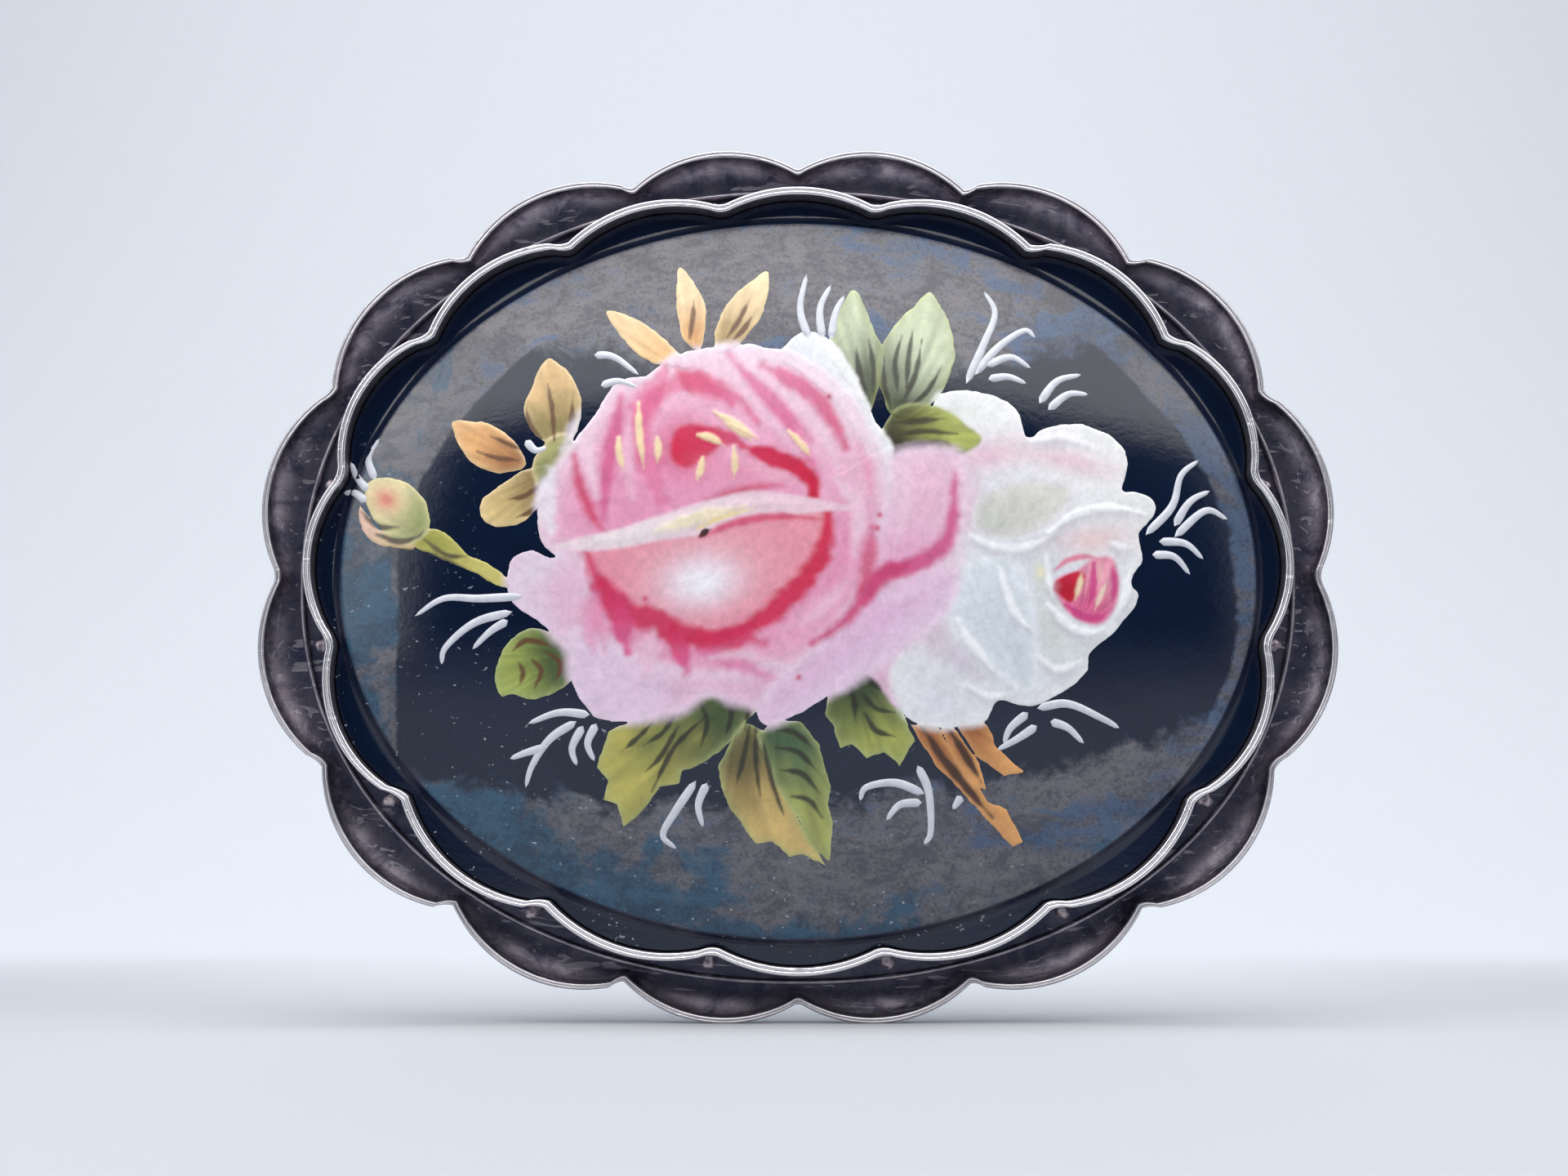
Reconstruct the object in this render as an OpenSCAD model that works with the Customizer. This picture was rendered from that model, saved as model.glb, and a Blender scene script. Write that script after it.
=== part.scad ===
// Oval brooch: a domed porcelain plaque held in a scalloped silver setting, with a hinged pin
// and a rolling safety catch on the back. Millimetres. +Z is up as the brooch is worn, the face
// looks along -Y, and the origin is on the pin's axis, halfway along its straight wire.

/* [Border] */
// Width of the border measured through its notches
notch_w = 48.7; // [47:0.1:51]
// Height of the border measured through its notches
notch_h = 38.8; // [38.4:0.1:41]
// Width of the oval that the tips of the border's scallops lie on
crest_w = 50.8; // [50.6:0.1:54]
// Height of the oval that the tips of the border's scallops lie on
crest_h = 41.3; // [41:0.1:44]
// Number of scallops on the border and on the collar
scallops = 16; // [12:2:20]
// Thickness of the silver sheet
sheet = 0.45; // [0.3:0.05:0.6]
// Shift that makes the border's scallops of about one length all round, in degrees
border_even = 2.2; // [0:0.1:4]
// How far the border's edge stands in front of the back plate's back face
border_front = 1.95; // [1.7:0.05:2.4]

/* [Collar and plaque] */
// Width of the collar across the tips of its scallops
collar_w = 45.7; // [45:0.1:46.2]
// Height of the collar across the tips of its scallops
collar_h = 36.7; // [36.2:0.1:37]
// Depth of the notches between the collar's scallops
collar_notch = 0.85; // [0.6:0.05:1]
// Shift that makes the collar's scallops of about one length all round, in degrees
collar_even = 3; // [0:0.5:4]
// How much wider the collar's scallops are spaced towards the foot, in degrees
collar_spread = 3.5; // [0:0.5:5]
// How far the collar's edge stands in front of the back plate's back face
collar_front = 3.3; // [2.8:0.1:3.6]
// Width of the plaque's dome
dome_w = 42.5; // [41:0.1:42.6]
// Height of the plaque's dome
dome_h = 33.5; // [32:0.1:33.6]
// Rise of the dome above its own edge
dome_rise = 3.1; // [2:0.1:4]

/* [Pin and catch] */
// Height of the pin above the middle of the brooch
pin_up = 5; // [3:0.5:7]
// Distance of the pin's axis behind the back plate
pin_back = 3; // [2.9:0.1:4]
// Radius of the pin's wire
pin_r = 0.45; // [0.35:0.05:0.5]
// Distance from the middle of the brooch to the hinge rivet
hinge_x = 15; // [14:0.5:16]
// Distance from the middle of the brooch to the catch
catch_x = 15.2; // [14.8:0.1:16]
// Opening angle of the slots in the catch, as a width
catch_slot = 1.1; // [1:0.05:1.2]

/* [Hidden] */
$fn = 48;

silver = "silver";
tarnish = "slategray";
arc_steps = 10;             // straight pieces in one scallop
oval_steps = 120;           // straight pieces round a plain oval
squareness = 2.12;          // the silver outlines are a little squarer than an ellipse, which is 2
plate_t = 0.5;              // back plate's thickness
seat = plate_t + sheet;     // front of the border's flat seat
seam_w = 46.7;              // oval where the seat ends and the scallops start
seam_h = 37.6;
seat_hole_w = 41;           // opening in the border behind the plaque
seat_hole_h = 32;
play = 0.06;                // gap between the plaque and the collar
rim_front = 2.2;            // front of the plaque's rim, outside its dome
dome_foot = 2.6;            // front of the dome's own edge
edge_drop = 0.25;           // step down from that edge to the rim
edge_wide = 0.15;
dome_rings = 9;
wire_w = 0.3;               // gallery wire's section
pad_t = 0.4;                // solder pads under the fittings
block_t = 0.5;              // floor of the hinge block
ear_t = 0.7;                // each ear of the hinge block
ear_r = 1.25;
eye_r = 1.15;               // the pin's eye
eye_t = 1.4;
ear_gap = 1.5;
heel = 2.07;                // the pin's stop: it meets the block's floor when the pin is open
rivet_r = 0.4;
neck_x = 11;                // the straight wire runs from -neck_x to neck_x
tip_x = 19.2;
tip_r = 0.06;
housing_r = 1.75;
housing_bore = 1.27;
housing_t = 1.8;
sleeve_r = 1.22;
sleeve_bore = 0.65;
collar_r = 1.5;             // beads that keep the sleeve in its housing
collar_t = 0.3;
sleeve_gap = 0.06;          // end play of the sleeve
tab_lean = 45;              // the tab's angle from straight back towards up
tab_reach = 3.0;
tab_t = 0.5;
tab_w = 1.4;

// Where the brooch's face frame (x across, y up, z to the front) lies in the part's frame.
module placed() translate([0, -pin_back, -pin_up]) rotate([90, 0, 0]) children();

function polar(r, t) = [r * cos(t), r * sin(t)];
function wrap(t) = t - 360 * floor(t / 360);

// Radius at angle t of an oval of width w and height h.
function oval_r(w, h, t, power = squareness) =
    pow(pow(abs(cos(t)) * 2 / w, power) + pow(abs(sin(t)) * 2 / h, power), -1 / power);
function oval(w, h, steps = oval_steps) =
    [for (i = [0 : steps - 1]) polar(oval_r(w, h, i * 360 / steps), i * 360 / steps)];

// Centre of the circle through three points.
function centre(a, b, c) =
    let (d = 2 * (a.x * (b.y - c.y) + b.x * (c.y - a.y) + c.x * (a.y - b.y)),
         aa = a * a, bb = b * b, cc = c * c)
    [(aa * (b.y - c.y) + bb * (c.y - a.y) + cc * (a.y - b.y)) / d,
     (aa * (c.x - b.x) + bb * (a.x - c.x) + cc * (b.x - a.x)) / d];

// One scallop: an arc from notch a over crest b to notch c, without its last point.
function arc(a, b, c) =
    let (m = centre(a, b, c), r = norm(a - m),
         from = atan2(a.y - m.y, a.x - m.x),
         sweep = wrap(atan2(c.y - m.y, c.x - m.x) - from))
    [for (j = [0 : arc_steps - 1]) m + polar(r, from + sweep * j / arc_steps)];

// Where the notch that would be at angle t of an even spacing really is.
function spaced(t, even, spread) = t - even * sin(2 * t) + spread * cos(t) * (1 - sin(t)) / 2;

// A scalloped outline. Notches lie on one oval and crests on another; the first notch is at angle start.
function scalloped(nw, nh, cw, ch, start, even, spread) =
    let (step = 360 / scallops)
    [for (k = [0 : scallops - 1])
        let (a = spaced(start + k * step, even, spread),
             c = spaced(start + (k + 1) * step, even, spread), b = (a + c) / 2)
        each arc(polar(oval_r(nw, nh, a), a), polar(oval_r(cw, ch, b), b), polar(oval_r(nw, nh, c), c))];

// The collar's outline, taken in by d from its outside.
function collar_line(d) =
    scalloped(collar_w - 2 * (collar_notch + d), collar_h - 2 * (collar_notch + d),
              collar_w - 2 * d, collar_h - 2 * d, 180 / scallops, collar_even, collar_spread);

function angle_of(p) = atan2(p.y, p.x);

// A closed ring: sections[i] is the list of 3-D points of the i-th cross-section.
module ring_of(sections) {
    n = len(sections);
    m = len(sections[0]);
    polyhedron(
        points = [for (s = sections) each s],
        faces = [for (i = [0 : n - 1], j = [0 : m - 1])
            let (a = i * m + j, b = i * m + (j + 1) % m,
                 c = ((i + 1) % n) * m + (j + 1) % m, d = ((i + 1) % n) * m + j)
            each [[a, b, c], [a, c, d]]]);
}

// Stamped sheet: a flat seat inside the seam, then a dished scallop that turns forward to a flat edge.
module scalloped_border() {
    edge = scalloped(notch_w, notch_h, crest_w, crest_h, 0, border_even, 0);
    curve = [0, 22.5, 45, 67.5, 90];
    function section(p) =
        let (t = angle_of(p), out = norm(p), seam = oval_r(seam_w, seam_h, t),
             hole = oval_r(seat_hole_w, seat_hole_h, t), wide = out - sheet - seam,
             rise = border_front - seat)
        concat(
            [[hole, plate_t], [hole, seat]],
            [for (u = curve) [seam + wide * sin(u), seat + rise * (1 - cos(u))]],
            [[out, border_front]],
            [for (u = [67.5, 45, 22.5])
                [seam + (out - seam) * sin(u), plate_t + (border_front - plate_t) * (1 - cos(u))]],
            [[seam, plate_t]]);
    color(tarnish) placed()
        ring_of([for (p = edge) [for (s = section(p)) [s.x * cos(angle_of(p)), s.x * sin(angle_of(p)), s.y]]]);
}

// A ring of constant section between two outlines, from z = low to z = high.
module band(outside, inside, low, high)
    translate([0, 0, low]) linear_extrude(high - low) difference() {
        polygon(outside);
        polygon(inside);
    }

module gallery_wire()
    color(silver) placed()
        band(oval(seam_w, seam_h), oval(seam_w - 2 * wire_w, seam_h - 2 * wire_w), seat, seat + wire_w);

module scalloped_collar()
    color(silver) placed() band(collar_line(0), collar_line(sheet), seat, collar_front);

// Porcelain: a scalloped rim that fills the collar, and an oval dome with a clear step at its foot.
module porcelain_plaque() {
    outline = collar_line(sheet + play);
    n = len(outline);
    dome = [for (k = [0 : dome_rings - 1]) cos(k * 90 / dome_rings)];
    rings = concat(
        [[for (p = outline) [p.x, p.y, seat]], [for (p = outline) [p.x, p.y, rim_front]],
         [for (p = outline)
            let (q = polar(oval_r(dome_w + 2 * edge_wide, dome_h + 2 * edge_wide, angle_of(p), 2), angle_of(p)))
            [q.x, q.y, dome_foot - edge_drop]]],
        [for (s = dome) [for (p = outline)
            let (q = polar(oval_r(dome_w, dome_h, angle_of(p), 2) * s, angle_of(p)))
            [q.x, q.y, dome_foot + dome_rise * (1 - pow(s, 2.3))]]]);
    m = len(rings);
    color("midnightblue") placed() polyhedron(
        points = concat([for (r = rings) each r], [[0, 0, dome_foot + dome_rise], [0, 0, seat]]),
        faces = concat(
            [for (i = [0 : m - 2], j = [0 : n - 1])
                let (a = i * n + j, b = i * n + (j + 1) % n, c = (i + 1) * n + (j + 1) % n, d = (i + 1) * n + j)
                each [[a, c, b], [a, d, c]]],
            [for (j = [0 : n - 1]) [(m - 1) * n + j, m * n, (m - 1) * n + (j + 1) % n]],
            [for (j = [0 : n - 1]) [j, (j + 1) % n, m * n + 1]]));
}

// Card disc that fills the opening in the border and beds the plaque.
module packing_disc()
    color("tan") placed()
        translate([0, 0, plate_t]) linear_extrude(sheet)
            polygon(oval(seat_hole_w - 0.4, seat_hole_h - 0.4));

module back_plate()
    color(silver) placed() linear_extrude(plate_t) polygon(oval(seam_w - 1, seam_h - 1));

// A solder pad with round corners, on the back plate's back face.
module pad(x, w, h)
    color(silver) placed() translate([x, pin_up, -pad_t]) linear_extrude(pad_t) union() {
        square([w, h - 2], center = true);
        square([w - 2, h], center = true);
        for (sx = [-1, 1], sy = [-1, 1]) translate([sx * (w / 2 - 1), sy * (h / 2 - 1)]) circle(1);
    }

module hinge_pad() pad(-hinge_x, 6.2, 5);
module catch_pad() pad(catch_x, 5.4, 5);

// A cylinder along the face frame's y, centred on the hinge axis.
module on_hinge(r, length, up = 0)
    translate([-hinge_x, pin_up + up, -pin_back]) rotate([90, 0, 0]) cylinder(r = r, h = length, center = true);

// U-shaped block: a floor and two bored ears above and below the pin's eye.
module hinge_block()
    color(silver) placed() difference() {
        union() {
            translate([-hinge_x, pin_up, -pad_t - block_t / 2])
                cube([4.2, ear_gap + 2 * ear_t, block_t], center = true);
            for (side = [-1, 1]) {
                mid = side * (ear_gap + ear_t) / 2;
                on_hinge(ear_r, ear_t, mid);
                translate([-hinge_x - ear_r, pin_up + mid - ear_t / 2, -pin_back])
                    cube([2 * ear_r, ear_t, pin_back - pad_t]);
            }
        }
        on_hinge(rivet_r + 0.02, 4);
    }

module hinge_rivet()
    color(tarnish) placed() {
        on_hinge(rivet_r, ear_gap + 2 * ear_t);
        for (side = [-1, 1]) on_hinge(0.7, 0.3, side * (ear_gap / 2 + ear_t + 0.15));
    }

// A cone or cylinder along x on the pin's axis.
module on_pin(x0, x1, r0, r1)
    translate([x0, pin_up, -pin_back]) rotate([0, 90, 0]) cylinder(h = x1 - x0, r1 = r0, r2 = r1);

// The pin: an eye on the rivet with a stop heel behind it, a neck, straight wire and a long point.
module pin_stem()
    color("lightgray") placed() difference() {
        union() {
            on_hinge(eye_r, eye_t);
            on_pin(-hinge_x, -neck_x - 2, 0.62, 0.62);
            on_pin(-neck_x - 2, -neck_x, 0.62, pin_r);
            on_pin(-neck_x, neck_x, pin_r, pin_r);
            on_pin(neck_x, tip_x, pin_r, tip_r);
            translate([-hinge_x, pin_up + 0.5, -pin_back]) rotate([90, 0, 0]) linear_extrude(1)
                polygon([[-0.8, pin_r], [-1.7, pin_r], [-heel, -pin_r], [-0.8, -pin_r]]);
        }
        on_hinge(rivet_r + 0.06, 4);
    }

// The slot that lets the pin into the catch, straight back from the pin's axis.
module slot_cut(x0, x1, width)
    translate([x0, pin_up - width / 2, -pin_back - 2.5]) cube([x1 - x0, width, 2.5]);

// A split ring on a foot.
module catch_housing() {
    x0 = catch_x - housing_t / 2;
    x1 = catch_x + housing_t / 2;
    color(silver) placed() difference() {
        union() {
            on_pin(x0, x1, housing_r, housing_r);
            translate([x0, pin_up - 1.1, -pin_back]) cube([housing_t, 2.2, pin_back - pad_t]);
        }
        on_pin(x0 - 1, x1 + 1, housing_bore, housing_bore);
        slot_cut(x0 - 1, x1 + 1, catch_slot + 0.1);
    }
}

// The turning sleeve: a slotted tube with a bead at each end of the housing.
module catch_sleeve() {
    x0 = catch_x - housing_t / 2 - sleeve_gap;
    x1 = catch_x + housing_t / 2 + sleeve_gap;
    end = x1 + tab_w + 0.2;
    color(silver) placed() difference() {
        union() {
            on_pin(x0 - collar_t, end, sleeve_r, sleeve_r);
            on_pin(x0 - collar_t, x0, collar_r, collar_r);
            on_pin(x1, end, collar_r, collar_r);
        }
        on_pin(x0 - 2, end + 1, sleeve_bore, sleeve_bore);
        slot_cut(x0 - 2, end + 1, catch_slot - 0.1);
    }
}

// The thumb tab: a flat paddle with a round end, soldered to the sleeve's outer bead.
module catch_tab() {
    x1 = catch_x + housing_t / 2 + sleeve_gap + 0.1;
    reach = tab_reach - tab_w / 2;
    color(silver) placed() translate([x1, pin_up, -pin_back]) rotate([-90 - tab_lean, 0, 0])
        translate([0, -tab_t / 2, 0]) difference() {
            union() {
                cube([tab_w, tab_t, reach]);
                translate([tab_w / 2, tab_t, reach]) rotate([90, 0, 0]) cylinder(h = tab_t, r = tab_w / 2);
            }
            translate([-1, tab_t / 2, 0]) rotate([0, 90, 0]) cylinder(h = tab_w + 2, r = collar_r);
        }
}

scalloped_border();
gallery_wire();
scalloped_collar();
porcelain_plaque();
packing_disc();
back_plate();
hinge_pad();
hinge_block();
hinge_rivet();
pin_stem();
catch_pad();
catch_housing();
catch_sleeve();
catch_tab();
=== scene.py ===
import math

import bpy
import numpy as np
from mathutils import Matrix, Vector


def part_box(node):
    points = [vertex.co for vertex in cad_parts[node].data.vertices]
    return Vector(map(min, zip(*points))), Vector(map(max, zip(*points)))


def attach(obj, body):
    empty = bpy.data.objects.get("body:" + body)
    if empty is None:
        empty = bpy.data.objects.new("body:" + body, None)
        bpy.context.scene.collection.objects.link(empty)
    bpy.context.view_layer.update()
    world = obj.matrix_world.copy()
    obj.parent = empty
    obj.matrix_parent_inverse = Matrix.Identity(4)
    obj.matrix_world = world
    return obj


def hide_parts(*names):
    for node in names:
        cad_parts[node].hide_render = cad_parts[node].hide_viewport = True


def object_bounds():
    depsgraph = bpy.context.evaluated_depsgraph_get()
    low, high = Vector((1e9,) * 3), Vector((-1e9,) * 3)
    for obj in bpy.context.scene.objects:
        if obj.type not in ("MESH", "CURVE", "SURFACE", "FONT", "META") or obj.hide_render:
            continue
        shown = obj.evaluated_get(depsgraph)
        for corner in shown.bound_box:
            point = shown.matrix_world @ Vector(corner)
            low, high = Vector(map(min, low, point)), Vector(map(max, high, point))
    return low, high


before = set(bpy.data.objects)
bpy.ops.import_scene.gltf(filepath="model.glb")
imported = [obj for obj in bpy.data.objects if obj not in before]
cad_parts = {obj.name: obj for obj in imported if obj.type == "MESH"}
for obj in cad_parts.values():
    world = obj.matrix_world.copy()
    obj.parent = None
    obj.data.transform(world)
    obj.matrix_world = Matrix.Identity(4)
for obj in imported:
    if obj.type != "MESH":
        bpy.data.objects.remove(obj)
cad_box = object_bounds()

# ---- The camera ----
# A camera held low in front of the brooch, a little under its face and looking up at it. The brooch
# stands on its two lowest scallops. Sizes in this script are millimetres in the brooch's own face
# frame: across to the right, up, and out towards the wearer's front, from the back plate's back.

MM = 0.001
border_low, border_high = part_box("scalloped_border")
MIDDLE_Z = (border_low[2] + border_high[2]) / 2
BACK_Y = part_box("back_plate")[1][1]


def face(across, up, out):
    """Points in the scene, in metres, from the brooch's face frame in millimetres."""
    across, up, out = np.broadcast_arrays(across, up, out)
    return np.stack([across * MM, BACK_Y - out * MM, MIDDLE_Z + up * MM], axis=-1)


CAMERA_BELOW = math.radians(7.5)
CAMERA_AWAY = 105
CAMERA_LENS = 51.9
AIM = (-0.65, -0.56, 2)
EYE = (AIM[0], AIM[1] - CAMERA_AWAY * math.sin(CAMERA_BELOW),
       AIM[2] + CAMERA_AWAY * math.cos(CAMERA_BELOW))
bpy.ops.object.camera_add(location=face(*EYE), rotation=(math.pi / 2 + CAMERA_BELOW, 0, 0))
camera = bpy.context.object
camera.data.lens = CAMERA_LENS
camera.data.clip_start = 0.005
bpy.context.scene.camera = camera
bpy.context.scene.view_settings.view_transform = "Standard"

# ---- The floor and the light ----
# Pale bluish paper that runs back and curves up behind. A large soft box hangs over the front, a
# smaller one stands to each side, and the room is dim, and darkest in front.


class Value:
    """A number, colour or vector on its way through a material. Sums of numbers add Math nodes."""

    def __init__(self, recipe, socket):
        self.recipe, self.socket = recipe, socket

    def math(self, operation, *others):
        return self.recipe.node("Math", {"operation": operation}, self, *others)

    def __add__(self, other):
        return self.math("ADD", other)

    def __sub__(self, other):
        return self.math("SUBTRACT", other)

    def __rsub__(self, other):
        return self.recipe.node("Math", {"operation": "SUBTRACT"}, other, self)

    def __mul__(self, other):
        return self.math("MULTIPLY", other)

    def __truediv__(self, other):
        return self.math("DIVIDE", other)

    def __pow__(self, other):
        return self.math("POWER", other)

    __radd__, __rmul__ = __add__, __mul__

    def between(self, low, high):
        """0 below low, 1 above high, and a smooth step between."""
        settings = {"interpolation_type": "SMOOTHSTEP"}
        return self.recipe.node("MapRange", settings, self, low, high, 0.0, 1.0)


class Recipe:
    """A material built around one Principled shader."""

    def __init__(self, name, **uniform):
        self.material = bpy.data.materials.new(name)
        self.material.use_nodes = True
        self.tree = self.material.node_tree
        self.shader = self.tree.nodes["Principled BSDF"]
        self.give(**uniform)

    def node(self, kind, settings, *values, out=0, **named):
        made = self.tree.nodes.new("ShaderNode" + kind)
        for name, setting in settings.items():
            setattr(made, name, setting)
        for place, value in [*enumerate(values), *named.items()]:
            self.put(made.inputs[place], value)
        return Value(self, made.outputs[out])

    def put(self, socket, value):
        if isinstance(value, Value):
            self.tree.links.new(value.socket, socket)
        elif value is not None:
            socket.default_value = value

    def give(self, **inputs):
        for name, value in inputs.items():
            self.put(self.shader.inputs[name.replace("_", " ")], value)

    def place(self):
        """Where a point is, in metres, as a vector."""
        return self.node("TexCoord", {}, out=3)

    def axes(self):
        """Where a point is in the face frame: across, up and out, in millimetres."""
        split = self.node("SeparateXYZ", {}, self.place())
        x, y, z = [Value(self, socket) for socket in split.socket.node.outputs]
        return x / MM, (z - MIDDLE_Z) / MM, (BACK_Y - y) / MM

    def noise(self, size, detail=3.0, rough=0.5, stretch=None, warp=0.0):
        """Soft random values, 0 to 1, with features about size millimetres across."""
        where = self.place()
        if stretch:
            where = self.node("Mapping", {}, where, Scale=stretch)
        return self.node("TexNoise", {}, Vector=where, Scale=1 / (size * MM), Detail=detail,
                         Roughness=rough, Distortion=warp)

    def blend(self, share, first, second):
        """The first colour where share is 0 and the second where it is 1."""
        mix = self.node("Mix", {"data_type": "RGBA"}, share).socket.node
        self.put(mix.inputs[6], first)
        self.put(mix.inputs[7], second)
        return Value(self, mix.outputs[2])

    def bump(self, height, depth):
        """Relief of depth millimetres, from values of 0 to 1."""
        self.give(Normal=self.node("Bump", {}, Height=height, Distance=depth * MM))


def rgb(red, green, blue):
    """A colour from the usual 0 to 255 numbers, as linear light."""
    share = np.array([red, green, blue]) / 255
    return np.where(share <= 0.04045, share / 12.92, ((share + 0.055) / 1.055) ** 2.4)


def opaque(*colour):
    """The same with full alpha, as sockets take it."""
    return (*rgb(*colour), 1.0)


def deselect():
    """Nothing selected, in object mode."""
    if bpy.context.object and bpy.context.object.mode != "OBJECT":
        bpy.ops.object.mode_set(mode="OBJECT")
    bpy.ops.object.select_all(action="DESELECT")


FLOOR_Z = cad_box[0][2]
FLOOR_SIZE = 1.4
FLOOR_BACK = 0.34
WALL_HIGH = 0.7
FOLD_WIDE = 0.24
deselect()
bpy.ops.mesh.primitive_plane_add(size=FLOOR_SIZE, location=(0, FLOOR_BACK - FLOOR_SIZE / 2, FLOOR_Z))
floor = bpy.context.object
floor.name = "paper_floor"
bpy.ops.object.mode_set(mode="EDIT")
bpy.ops.mesh.select_all(action="DESELECT")
bpy.ops.object.mode_set(mode="OBJECT")
for edge in floor.data.edges:
    edge.select = all(floor.data.vertices[i].co.y > 0 for i in edge.vertices)
bpy.ops.object.mode_set(mode="EDIT")
bpy.ops.mesh.select_mode(type="EDGE")
bpy.ops.mesh.extrude_region_move(TRANSFORM_OT_translate={"value": (0, 0, WALL_HIGH)})
bpy.ops.object.mode_set(mode="OBJECT")
fold = floor.modifiers.new("fold", "BEVEL")
fold.width = FOLD_WIDE
fold.segments = 24
fold.limit_method = "ANGLE"
bpy.ops.object.modifier_apply(modifier="fold")
bpy.ops.object.transform_apply(location=True)
bpy.ops.object.shade_smooth()

paper = Recipe("pale_paper", Roughness=0.75)
speck = paper.noise(0.5, detail=2.0)
across, up, out = paper.axes()
# Painted shade: the floor is laid darker than the paper's curve, darker again to both sides, and dark far
# in front of the brooch.
floor_shade = out.between(-120, -15)
side_shade = (across * across).between(200, 2500) * floor_shade
front_shade = out.between(62, 120)
sheet = paper.blend(speck, opaque(196, 200, 207), opaque(202, 206, 213))
sheet = paper.blend(floor_shade, sheet, opaque(178, 182, 188))
sheet = paper.blend(side_shade * 0.7, sheet, opaque(164, 168, 175))
paper.give(Base_Color=paper.blend(front_shade * 0.7, sheet, opaque(84, 88, 98)))
floor.data.materials.append(paper.material)


def soft_box(name, place, target, size, power, colour):
    """A rectangular lamp that faces its target; metres and watts."""
    bpy.ops.object.light_add(type="AREA", location=place)
    lamp = bpy.context.object
    lamp.name = name
    lamp.data.shape = "RECTANGLE"
    lamp.data.size, lamp.data.size_y = size
    lamp.data.energy = power
    lamp.data.color = colour
    lamp.rotation_euler = (Vector(target) - Vector(place)).to_track_quat("-Z", "Y").to_euler()


centre = (0, BACK_Y, MIDDLE_Z)
soft_box("top_box", (0.0, -0.155, 0.275), centre, (0.80, 0.34), 2.3, (1.0, 0.985, 0.965))
soft_box("back_box", (0.0, 0.03, 0.33), (0, 0.34, 0.05), (0.30, 0.16), 0.95, (0.93, 0.97, 1.0))
soft_box("left_box", (-0.235, -0.195, 0.07), centre, (0.10, 0.20), 0.13, (0.95, 0.97, 1.0))
soft_box("right_box", (0.26, -0.18, 0.07), centre, (0.08, 0.20), 0.06, (0.92, 0.96, 1.0))

world = bpy.data.worlds.new("dim_room")
bpy.context.scene.world = world
world.use_nodes = True
room = world.node_tree
around = room.nodes.new("ShaderNodeTexCoord")
split = room.nodes.new("ShaderNodeSeparateXYZ")
room.links.new(around.outputs["Generated"], split.inputs[0])
shade = room.nodes.new("ShaderNodeValToRGB")
front, back = shade.color_ramp.elements
front.color = (0.035, 0.037, 0.045, 1)
back.position = 0.75
back.color = (0.55, 0.60, 0.66, 1)
shade.color_ramp.elements.new(0.35).color = (0.10, 0.11, 0.13, 1)
lift = room.nodes.new("ShaderNodeMapRange")
lift.inputs["From Min"].default_value = -1.0
lift.inputs["From Max"].default_value = 1.0
room.links.new(split.outputs["Y"], lift.inputs["Value"])
room.links.new(lift.outputs["Result"], shade.inputs["Fac"])
room.links.new(shade.outputs["Color"], room.nodes["Background"].inputs["Color"])

# ---- The scalloped border ----
# Silver sheet, stamped into sixteen dished scallops round a flat seat, and dark with tarnish in the
# dishes, with painted shade darker still towards the seat. Its edge is turned forward and burnished to
# two beads with a groove between, whose two thin bright lines are burnish and painted highlight.

SCALLOPS = 16
SHEET = 0.45
SQUARENESS = 2.12
PLATE_THICK = 0.5
SEAT_OUT = PLATE_THICK + SHEET
SEAM = (46.7, 37.6)
SEAT_HOLE = (41.0, 32.0)
BORDER_NOTCH = (48.7, 38.8)
BORDER_CREST = (50.8, 41.3)
BORDER_OUT = 1.95
BORDER_EDGE = 0.30
BEAD_HIGH = 0.10
BORDER_EVEN = 2.2
ARC_STEPS = 60


def oval(size, angle, power=SQUARENESS):
    """Radius at an angle, in radians, of an oval of the given width and height."""
    wide, high = np.abs(np.cos(angle)) * 2 / size[0], np.abs(np.sin(angle)) * 2 / size[1]
    return (wide ** power + high ** power) ** (-1 / power)


def spaced(angle, even, spread):
    """Where a notch of an even spacing really is."""
    wider = spread * math.cos(angle) * (1 - math.sin(angle)) / 2
    return angle + math.radians(wider - even * math.sin(2 * angle))


def scalloped(notch, crest, first, steps, even, spread):
    """A closed outline of arcs, from notch to notch over a crest, as rows of across and up."""
    def spot(size, angle):
        return np.array([math.cos(angle), math.sin(angle)]) * oval(size, np.array(angle))
    points = []
    pitch = 2 * math.pi / SCALLOPS
    for k in range(SCALLOPS):
        start, end = [spaced(first + turn * pitch, even, spread) for turn in (k, k + 1)]
        a, b, c = spot(notch, start), spot(crest, (start + end) / 2), spot(notch, end)
        chord, middle = c - a, (a + c) / 2
        sagitta = np.linalg.norm(b - middle)
        radius = sagitta / 2 + chord @ chord / (8 * sagitta)
        hub = b + (middle - b) / sagitta * radius
        low = math.atan2(*(a - hub)[::-1])
        sweep = (math.atan2(*(c - hub)[::-1]) - low) % (2 * math.pi)
        turn = low + sweep * np.arange(steps) / steps
        points.append(hub + radius * np.column_stack([np.cos(turn), np.sin(turn)]))
    return np.vstack(points)


def softened(outline, reach):
    """The outline with its corners rounded, as metal bends: each point is averaged with others."""
    return sum(np.roll(outline, k, axis=0) for k in range(-reach, reach + 1)) / (2 * reach + 1)


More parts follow.
